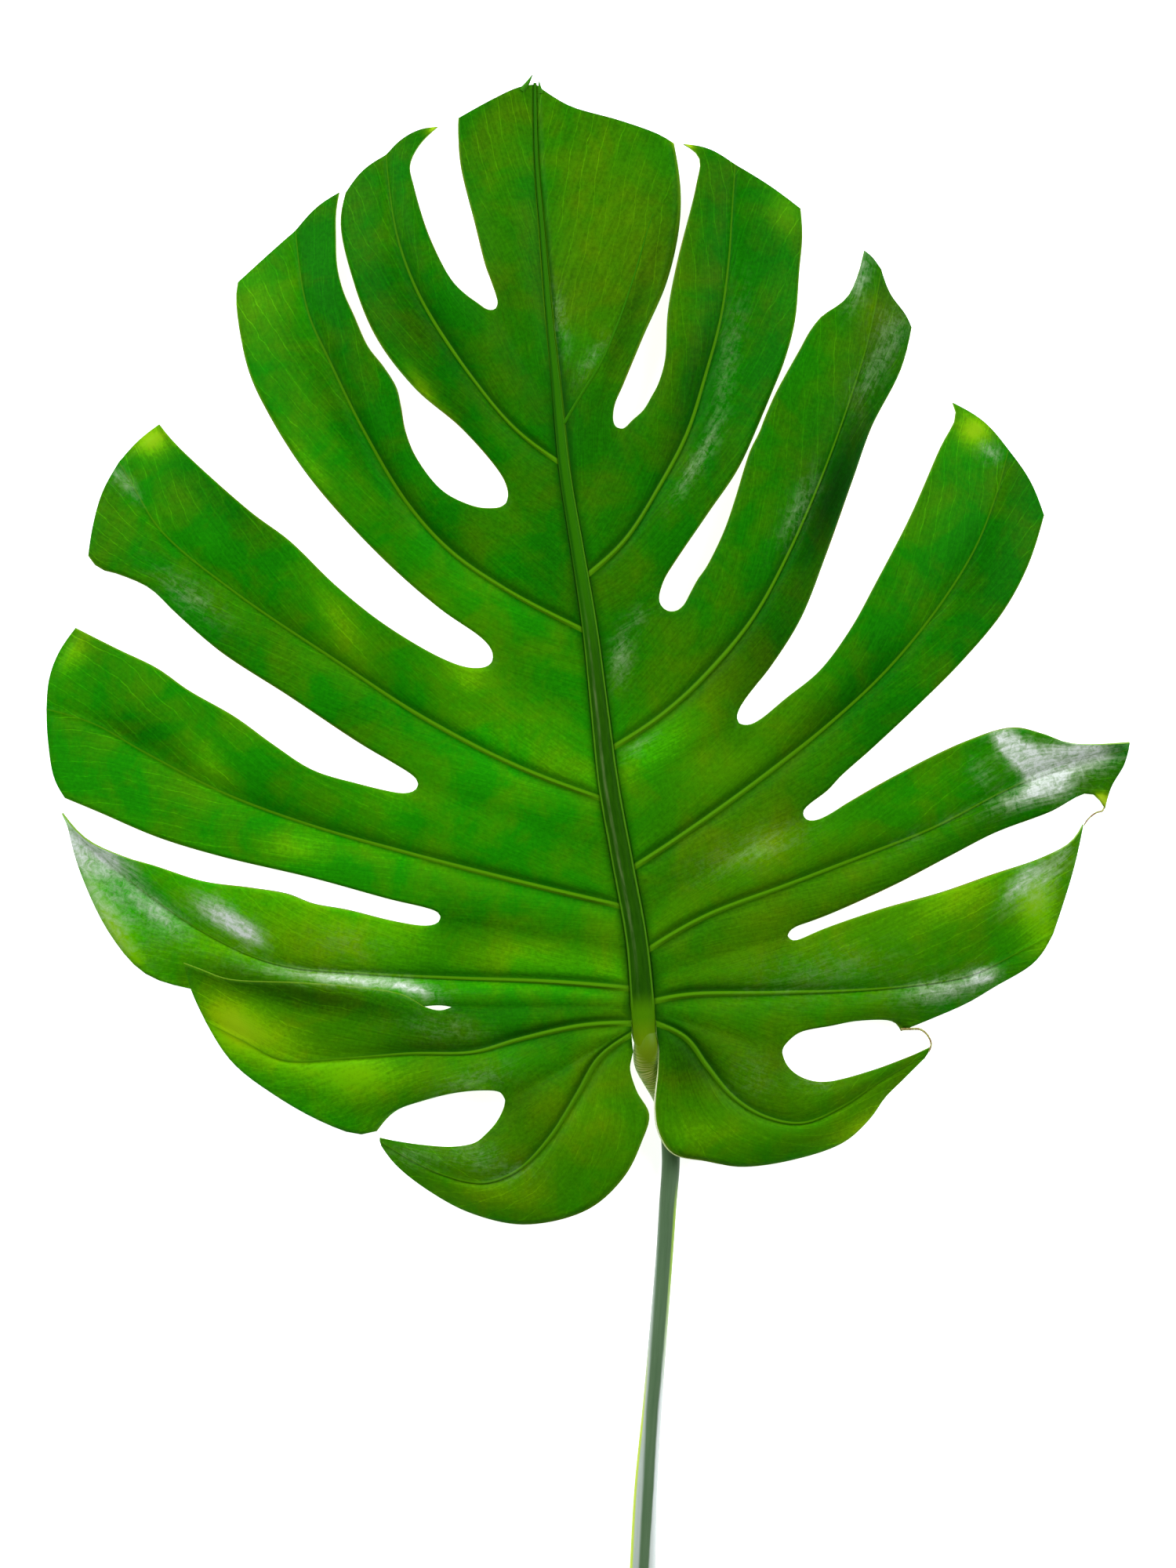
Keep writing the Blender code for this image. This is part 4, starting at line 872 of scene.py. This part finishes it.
def stalk_material():
    """Stalk: olive ringed joint, then a pale rind with a grey-green middle band and a yellow-green line
    along one side."""
    material, tree, shader = new_material("monstera stalk, smooth rind")
    math, spread, mix = "ShaderNodeMath", "ShaderNodeMapRange", "ShaderNodeMix"
    place = add_node(tree, "ShaderNodeAttribute", attribute_name="place").outputs["Vector"]
    length, band, a = add_node(tree, "ShaderNodeSeparateXYZ", {0: place}).outputs
    grain_place = add_node(tree, "ShaderNodeMapping", {0: place, 3: (0.06, 2.5, 2.5)}).outputs[0]
    grain = add_node(tree, "ShaderNodeTexNoise", {"Vector": grain_place, "Scale": 1.0, "Detail": 5.0,
                                                   "Roughness": 0.6}).outputs[0]
    soft = add_node(tree, math, {0: grain, 1: 0.25, 2: band}, operation="MULTIPLY_ADD").outputs[0]
    enter = add_node(tree, spread, {0: soft, 1: 0.02, 2: 0.3, 3: 0.0, 4: 1.0},
                     interpolation_type="SMOOTHSTEP").outputs[0]
    leave = add_node(tree, spread, {0: soft, 1: 1.05, 2: 1.25, 3: 1.0, 4: 0.0},
                     interpolation_type="SMOOTHSTEP").outputs[0]
    core = add_node(tree, math, {0: enter, 1: leave}, operation="MULTIPLY").outputs[0]
    left = add_node(tree, spread, {0: a, 1: -0.86, 2: -0.72, 3: 1.0, 4: 0.0},
                    interpolation_type="SMOOTHSTEP").outputs[0]
    left_run = add_node(tree, spread, {0: length, 1: 108.0, 2: 135.0, 3: 0.0, 4: 1.0}).outputs[0]
    right = add_node(tree, spread, {0: a, 1: 0.62, 2: 0.8, 3: 0.0, 4: 1.0},
                     interpolation_type="SMOOTHSTEP").outputs[0]
    right_start = add_node(tree, spread, {0: length, 1: 55.0, 2: 66.0, 3: 0.0, 4: 1.0}).outputs[0]
    right_end = add_node(tree, spread, {0: length, 1: 85.0, 2: 125.0, 3: 1.0, 4: 0.0}).outputs[0]
    left = add_node(tree, math, {0: left, 1: left_run}, operation="MULTIPLY").outputs[0]
    right = add_node(tree, math, {0: right, 1: right_start}, operation="MULTIPLY").outputs[0]
    right = add_node(tree, math, {0: right, 1: right_end}, operation="MULTIPLY").outputs[0]
    green = add_node(tree, mix, {0: grain, 6: linear("#93A596"), 7: linear("#C3D0C8")},
                     data_type="RGBA").outputs[2]
    bright = add_node(tree, spread, {0: a, 1: 0.2, 2: 0.8, 3: 0.0, 4: 0.8}).outputs[0]
    green = add_node(tree, mix, {0: bright, 6: green, 7: linear("#E3EDEC")}, data_type="RGBA").outputs[2]
    dark = add_node(tree, mix, {0: grain, 6: linear("#446340"), 7: linear("#63805E")},
                    data_type="RGBA").outputs[2]
    green = add_node(tree, mix, {0: core, 6: green, 7: dark}, data_type="RGBA").outputs[2]
    for part, colour in ((left, "#B4CF2E"), (right, "#8CB436")):
        green = add_node(tree, mix, {0: part, 6: green, 7: linear(colour)}, data_type="RGBA").outputs[2]

    # Rings of the joint, plainer on its upper right side
    turns = add_node(tree, math, {0: length, 1: 0.85}, operation="DIVIDE").outputs[0]
    bend = add_node(tree, "ShaderNodeTexNoise", {"Vector": place, "Scale": 0.7, "Detail": 2.0}).outputs[0]
    turns = add_node(tree, math, {0: bend, 1: 1.4, 2: turns}, operation="MULTIPLY_ADD").outputs[0]
    ring = add_node(tree, math, {0: turns, 1: 0.5}, operation="PINGPONG").outputs[0]
    ring = add_node(tree, spread, {0: ring, 1: 0.1, 2: 0.4, 3: 0.0, 4: 1.0}).outputs[0]
    start = add_node(tree, math, {0: a, 1: -3.5, 2: length}, operation="MULTIPLY_ADD").outputs[0]
    lower = add_node(tree, spread, {0: start, 1: 12.0, 2: 17.0, 3: 0.0, 4: 1.0}).outputs[0]
    leftish = add_node(tree, spread, {0: a, 1: -0.7, 2: 0.8, 3: 1.0, 4: 0.5}).outputs[0]
    fresh = add_node(tree, spread, {0: length, 1: 0.0, 2: 10.0, 3: 0.0, 4: 1.0}).outputs[0]
    fresh = add_node(tree, mix, {0: fresh, 6: linear("#487F03"), 7: linear("#6C8A08")},
                     data_type="RGBA").outputs[2]
    ring = add_node(tree, math, {0: ring, 1: lower}, operation="MULTIPLY").outputs[0]
    ring = add_node(tree, math, {0: ring, 1: leftish}, operation="MULTIPLY").outputs[0]
    olive = add_node(tree, mix, {0: ring, 6: fresh, 7: linear("#B4B866")},
                     data_type="RGBA").outputs[2]
    joint = add_node(tree, spread, {0: length, 1: 22.0, 2: 36.0, 3: 1.0, 4: 0.0},
                     interpolation_type="SMOOTHSTEP").outputs[0]
    green = add_node(tree, mix, {0: joint, 6: green, 7: olive}, data_type="RGBA").outputs[2]
    tree.links.new(green, shader.inputs["Base Color"])
    bump = add_node(tree, "ShaderNodeBump", {"Height": grain, "Strength": 0.3, "Distance": 0.0003}).outputs[0]
    tree.links.new(bump, shader.inputs["Normal"])
    shader.inputs["Roughness"].default_value = 0.45
    shader.inputs["Specular IOR Level"].default_value = 0.2
    return material


def thread_material():
    """Dried plant thread: straw yellow with brown flecks."""
    material, tree, shader = new_material("dried leaf thread")
    body = add_node(tree, "ShaderNodeTexCoord").outputs["Object"]
    fleck = add_node(tree, "ShaderNodeTexNoise", {"Vector": body, "Scale": 700.0, "Detail": 2.0}).outputs[0]
    part = add_node(tree, "ShaderNodeMapRange", {0: fleck, 1: 0.4, 2: 0.62, 3: 0.0, 4: 1.0}).outputs[0]
    colour = add_node(tree, "ShaderNodeMix", {0: part, 6: linear("#A9B063"), 7: linear("#8A6B35")},
                      data_type="RGBA").outputs[2]
    tree.links.new(colour, shader.inputs["Base Color"])
    shader.inputs["Roughness"].default_value = 0.7
    return material


def margin_material(name, colour, other):
    """Edge of the blade: two colours in uneven lengths."""
    material, tree, shader = new_material(name)
    body = add_node(tree, "ShaderNodeTexCoord").outputs["Object"]
    patch = add_node(tree, "ShaderNodeTexNoise", {"Vector": body, "Scale": 60.0, "Detail": 4.0}).outputs[0]
    part = add_node(tree, "ShaderNodeMapRange", {0: patch, 1: 0.42, 2: 0.58, 3: 0.0, 4: 1.0}).outputs[0]
    mixed = add_node(tree, "ShaderNodeMix", {0: part, 6: linear(colour), 7: linear(other)},
                     data_type="RGBA").outputs[2]
    tree.links.new(mixed, shader.inputs["Base Color"])
    shader.inputs["Roughness"].default_value = 0.6
    return material


def plain_material(name, colour, roughness, level=0.5):
    """One colour, with a roughness and a specular level."""
    material, _, shader = new_material(name)
    shader.inputs["Specular IOR Level"].default_value = level
    shader.inputs["Base Color"].default_value = linear(colour)
    shader.inputs["Roughness"].default_value = roughness
    return material


class LeafSettings(bpy.types.PropertyGroup):
    """Sizes and light of the leaf scene."""

    steps_along: IntProperty(name="Steps along", description="Divisions along each half lobe", default=72)
    steps_across: IntProperty(name="Steps across", description="Divisions across each half lobe", default=20)
    blade_thickness: FloatProperty(name="Blade thickness", description="Thickness of the blade",
                                   default=0.0006, unit="LENGTH", subtype="DISTANCE", precision=5)
    vein_depth: FloatProperty(name="Vein depth", description="Depth of the grooves along the side veins",
                              default=0.0014, unit="LENGTH", subtype="DISTANCE", precision=5)
    world_bright: FloatProperty(name="Sky light", description="Strength of the light near the horizon",
                                default=1.0)
    lamp_power: FloatProperty(name="Lamp power", description="Power of the main lamp", default=36.0,
                              unit="POWER")


class LEAF_OT_blade(bpy.types.Operator):
    """Builds the blade's upper and lower faces."""

    bl_idname = "leaf.blade"
    bl_label = "Build blade"

    def execute(self, context):
        settings = context.scene.leaf_settings
        points, quads, index, values = leaf_skin(settings).merged()
        faces = index[quads]
        kept = np.array([len(set(face)) == 4 for face in faces.tolist()])
        faces, quads = faces[kept], quads[kept]
        corners = points[faces][..., :2]
        turn = np.cross(corners[:, 2] - corners[:, 0], corners[:, 3] - corners[:, 1])
        down = turn < 0
        faces[down] = faces[down][:, ::-1]
        quads[down] = quads[down][:, ::-1]
        blade = new_object("blade_skin", points, faces.tolist())
        for name, value in zip(("place", "trait", "spots"), values):
            set_attribute(blade.data, name, value[quads.reshape(-1)], "CORNER")
        solid = blade.modifiers.new("thickness", "SOLIDIFY")
        solid.thickness = settings.blade_thickness
        solid.offset = -1
        solid.material_offset = 1
        solid.material_offset_rim = 2
        blade.data.materials.append(leaf_top_material())
        blade.data.materials.append(plain_material("monstera leaf, dull underside", "#5E8F2C", 0.55))
        blade.data.materials.append(plain_material("monstera leaf, pale margin", "#7FB02E", 0.5))
        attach(blade, "root")
        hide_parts("leaf_blade")
        return {"FINISHED"}


class LEAF_OT_midrib(bpy.types.Operator):
    """Builds the midrib: a closed profile with a rounded crest between two grooves and a keel below, its
    width read from a table, carried from the base to the tip."""

    bl_idname = "leaf.midrib"
    bl_label = "Build midrib"

    def execute(self, context):
        line = midrib_point(np.linspace(MIDRIB[0][1] - 1.5, MIDRIB[-1][1] + 0.5, 450), 0)
        start = np.clip((line[:, 1] - line[0, 1]) / 7, 0.02, 1)
        width = (at(MIDRIB_SHOWN_AT, line[:, 1]) * np.sqrt(1 - (1 - start) ** 2))[:, None]
        rise = at(MIDRIB_RISE_AT, line[:, 1])[:, None]
        angle = np.linspace(0, 2 * np.pi, 65)[:-1]
        a, b = np.cos(angle), np.sin(angle)
        groove = 0.05 * np.exp(-((np.abs(a) - 0.7) / 0.1) ** 2) * np.clip(line[:, 1] / 8, 0, 1)[:, None]
        high = (np.where(b > 0, rise * b, 0.5 * b) - groove * (b > 0) - rise + MIDRIB_RISE_AT[-1][1]) * width
        profile = np.stack([width / 2 * a, high], axis=-1)
        profile[..., 1] += 0.25
        ring = carried(profile, line, sides_of(line), np.tile([0, 0, 1.0], (len(line), 1)))
        quads, ends = ring_faces(*ring.shape[:2])
        midrib = new_object("midrib", ring.reshape(-1, 3), quads.tolist() + ends)
        place = np.stack([line[:, 1][:, None] + 0 * a, a + 0 * width, width + 0 * a], axis=-1)
        set_attribute(midrib.data, "place", place, "POINT")
        midrib.data.materials.append(midrib_material())
        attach(midrib, "root")
        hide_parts("leaf_blade")
        return {"FINISHED"}


class LEAF_OT_stalk(bpy.types.Operator):
    """Builds the stalk: a tube whose radius follows a table, ringed by sine ridges on its swollen joint."""

    bl_idname = "leaf.stalk"
    bl_label = "Build stalk"

    def execute(self, context):
        rows = [(x, y, radius if height is None else height, radius) for x, y, radius, height in JOINT + STALK[4:]]
        line = smooth_line(rows, 900)
        length = np.concatenate([[0], np.cumsum(np.linalg.norm(np.diff(line[:, :3], axis=0), axis=1))])
        angle = np.linspace(0, 2 * np.pi, 81)[:-1]
        a, b = np.cos(angle), np.sin(angle)
        wobble = 0.6 * np.sin(2 * angle + length[:, None] / 3) + 0.4 * np.sin(3 * angle - length[:, None] / 2)
        joint = np.clip(1 - (length[:, None] - 26) / 6, 0, 1) * np.clip((length[:, None] - 12.5 - 3.5 * a) / 3, 0, 1)
        ridge = 0.11 * joint * np.sin(2 * np.pi * length[:, None] / 0.85 + wobble)
        profile = (line[:, 3][:, None] + ridge)[..., None] * np.stack([a, b], axis=-1)
        ahead = np.gradient(line[:, :3], axis=0)
        ahead /= np.linalg.norm(ahead, axis=1)[:, None]
        side = sides_of(line)
        ring = carried(profile, line[:, :3], side, np.cross(side, ahead))
        quads, ends = ring_faces(*ring.shape[:2])
        stalk = new_object("stalk_skin", ring.reshape(-1, 3), quads.tolist() + ends)
        left, right = (at(table[:], line[:, 1])[:, None] for table in (BAND_LEFT_AT, BAND_RIGHT_AT))
        band = (ring[..., 0] - left) / (right - left)
        shown = ring[..., 0] - line[:, 0][:, None]
        place = np.stack([length[:, None] + 0 * a, band, shown / line[:, 3][:, None]], axis=-1)
        set_attribute(stalk.data, "place", place, "POINT")
        stalk.data.materials.append(stalk_material())
        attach(stalk, "root")
        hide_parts("leaf_stalk")
        return {"FINISHED"}


class LEAF_OT_threads(bpy.types.Operator):
    """Builds the dried threads and spurs: round profiles carried along smooth paths, thinning to their end."""

    bl_idname = "leaf.threads"
    bl_label = "Build threads"

    def execute(self, context):
        dried = thread_material()
        fresh = plain_material("monstera leaf, fresh spur", "#3B8410", 0.6, 0.05)
        angle = np.linspace(0, 2 * np.pi, 13)[:-1]
        circle = np.stack([np.cos(angle), np.sin(angle)], axis=-1)
        for name, (points, first, last) in THREADS.items():
            line = smooth_line(points, 60)
            radius = np.linspace(first, last, len(line)) * (1 + 0.12 * np.sin(np.arange(len(line)) * 1.7))
            profile = radius[:, None, None] * circle
            ahead = np.gradient(line, axis=0)
            ahead /= np.linalg.norm(ahead, axis=1)[:, None]
            side = sides_of(line)
            ring = carried(profile, line, side, np.cross(side, ahead))
            quads, ends = ring_faces(*ring.shape[:2])
            thread = new_object(name, ring.reshape(-1, 3), quads.tolist() + ends)
            thread.data.materials.append(fresh if name.startswith("spur") else dried)
            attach(thread, "root")
        return {"FINISHED"}


def laid_on_blade(plan):
    """The plan points as 3-D points on the blade's upper face: the mean height of the blade's points,
    weighted by one over the fourth power of their distance."""
    mesh = bpy.data.objects["blade_skin"].data
    points = np.empty(len(mesh.vertices) * 3, np.float32)
    mesh.vertices.foreach_get("co", points)
    points = points.reshape(-1, 3) / MM - BASE
    weight = 1 / (((plan[:, None] - points[None, :, :2]) ** 2).sum(-1) + 0.05) ** 2
    return np.column_stack([plan, (weight * points[:, 2]).sum(1) / weight.sum(1)])


class LEAF_OT_fine_veins(bpy.types.Operator):
    """Builds the fine veins inside a lobe: round profiles carried along a smooth path on the blade, half
    sunk in it."""

    bl_idname = "leaf.fine_veins"
    bl_label = "Build fine veins"

    def execute(self, context):
        material = plain_material("monstera leaf, fine vein", "#2F7404", 0.6, 0.02)
        angle = np.linspace(0, 2 * np.pi, 13)[:-1]
        circle = np.stack([np.cos(angle), 0.6 * np.sin(angle)], axis=-1)
        for name, (points, first, last) in FINE_VEINS.items():
            line = laid_on_blade(smooth_line(points, 160))
            profile = np.linspace(first, last, len(line))[:, None, None] * circle
            ring = carried(profile, line, sides_of(line), np.tile([0, 0, 1.0], (len(line), 1)))
            quads, ends = ring_faces(*ring.shape[:2])
            vein = new_object(name, ring.reshape(-1, 3), quads.tolist() + ends)
            vein.data.materials.append(material)
            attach(vein, "root")
        return {"FINISHED"}


class LEAF_OT_margins(bpy.types.Operator):
    """Builds the thin rims along the gaps' edges: a round profile carried along part of each edge."""

    bl_idname = "leaf.margins"
    bl_label = "Build margins"

    def execute(self, context):
        steps = context.scene.leaf_settings.steps_along
        angle = np.linspace(0, 2 * np.pi, 9)[:-1]
        circle = np.stack([np.cos(angle), np.sin(angle)], axis=-1)
        dry = margin_material("monstera leaf, dry edge", "#86762A", "#3F7A10")
        pale = margin_material("monstera leaf, pale edge", "#E4EBC8", "#B9CB8A")
        for name, gap, which, first, last, radius, is_pale in MARGINS:
            line = free_edge(gap, which, 3 * steps)
            line = line[round(first * 3 * steps):round(last * 3 * steps) + 1]
            thin = np.sqrt(np.clip(np.sin(np.linspace(0.02, np.pi - 0.02, len(line))), 0, 1))
            profile = (radius * thin)[:, None, None] * circle
            ring = carried(profile, line - [0, 0, 0.2], sides_of(line), np.tile([0, 0, 1.0], (len(line), 1)))
            quads, ends = ring_faces(*ring.shape[:2])
            bead = new_object(name, ring.reshape(-1, 3), quads.tolist() + ends)
            bead.data.materials.append(pale if is_pale else dry)
            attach(bead, "root")
        return {"FINISHED"}


# Camera: the middle of its view from the leaf's base, the height of the plane it frames, its distance from
# that plane, and the height of the view there, all in mm
VIEW_MIDDLE = (-17.5, 75)
VIEW_PLANE = 8
VIEW_DISTANCE = 1600
VIEW_HEIGHT = 500
SENSOR = 36


class LEAF_OT_stage(bpy.types.Operator):
    """Builds the floor, the lights and the camera that looks straight down."""

    bl_idname = "leaf.stage"
    bl_label = "Build stage"

    def execute(self, context):
        settings = context.scene.leaf_settings
        floor = new_object("floor", np.array([(-1500, -1500, -0.3), (1500, -1500, -0.3), (1500, 1500, -0.3),
                                              (-1500, 1500, -0.3)], float), [[0, 1, 2, 3]])
        floor_material, _, floor_shader = new_material("white paper, back lit")
        floor_shader.inputs["Base Color"].default_value = (0.9, 0.9, 0.9, 1)
        floor_shader.inputs["Roughness"].default_value = 0.9
        floor_shader.inputs["Emission Color"].default_value = (1, 1, 1, 1)
        floor_shader.inputs["Emission Strength"].default_value = 0.9
        floor.data.materials.append(floor_material)
        world = bpy.data.worlds.new("soft studio")
        world.use_nodes = True
        tree = world.node_tree
        background = tree.nodes["Background"]
        direction = add_node(tree, "ShaderNodeTexCoord").outputs["Generated"]
        height = add_node(tree, "ShaderNodeSeparateXYZ", {0: direction}).outputs[2]
        bright = add_node(tree, "ShaderNodeMapRange", {0: height, 1: 0.45, 2: 0.85, 3: 1.0, 4: 0.0},
                          interpolation_type="SMOOTHSTEP").outputs[0]
        strength = add_node(tree, "ShaderNodeMath", {0: bright, 1: settings.world_bright},
                            operation="MULTIPLY").outputs[0]
        tree.links.new(strength, background.inputs["Strength"])
        context.scene.world = world
        for name, spot, power, size in (("lamp_left", (-1.2, 0.9, 1.1), settings.lamp_power, 1.5),
                                        ("lamp_right", (1.2, 0.7, 1.1), settings.lamp_power * 0.8, 1.5)):
            light = bpy.data.lights.new(name, "AREA")
            light.energy = power
            light.size = size
            lamp = bpy.data.objects.new(name, light)
            lamp.location = spot
            lamp.rotation_euler = (Vector((0, 0, 0)) - Vector(spot)).to_track_quat("-Z", "Y").to_euler()
            context.scene.collection.objects.link(lamp)
        camera_data = bpy.data.cameras.new("camera")
        camera_data.sensor_fit = "VERTICAL"
        camera_data.sensor_height = SENSOR
        camera_data.lens = SENSOR * VIEW_DISTANCE / VIEW_HEIGHT
        camera = bpy.data.objects.new("camera", camera_data)
        middle = np.array([*VIEW_MIDDLE, 0]) + BASE
        camera.location = (middle[0] * MM, middle[1] * MM, (VIEW_PLANE + VIEW_DISTANCE) * MM)
        context.scene.collection.objects.link(camera)
        context.scene.camera = camera
        context.scene.view_settings.view_transform = "Standard"
        return {"FINISHED"}


STEPS = (LEAF_OT_blade, LEAF_OT_midrib, LEAF_OT_stalk, LEAF_OT_fine_veins, LEAF_OT_threads, LEAF_OT_margins,
         LEAF_OT_stage)


class LEAF_PT_panel(bpy.types.Panel):
    """Lists the steps that build the scene."""

    bl_idname = "LEAF_PT_panel"
    bl_label = "Monstera leaf"
    bl_space_type = "VIEW_3D"
    bl_region_type = "UI"
    bl_category = "Leaf"

    def draw(self, context):
        settings = context.scene.leaf_settings
        for name in LeafSettings.__annotations__:
            self.layout.prop(settings, name)
        for step in STEPS:
            self.layout.operator(step.bl_idname)


CLASSES = (LeafSettings, *STEPS, LEAF_PT_panel)


def register():
    for kind in CLASSES:
        bpy.utils.register_class(kind)
    bpy.types.Scene.leaf_settings = PointerProperty(type=LeafSettings)


def unregister():
    del bpy.types.Scene.leaf_settings
    for kind in reversed(CLASSES):
        bpy.utils.unregister_class(kind)


def main():
    register()
    bpy.ops.leaf.blade()
    bpy.ops.leaf.midrib()
    bpy.ops.leaf.stalk()
    bpy.ops.leaf.fine_veins()
    bpy.ops.leaf.threads()
    bpy.ops.leaf.margins()
    bpy.ops.leaf.stage()


if __name__ == "__main__":
    main()
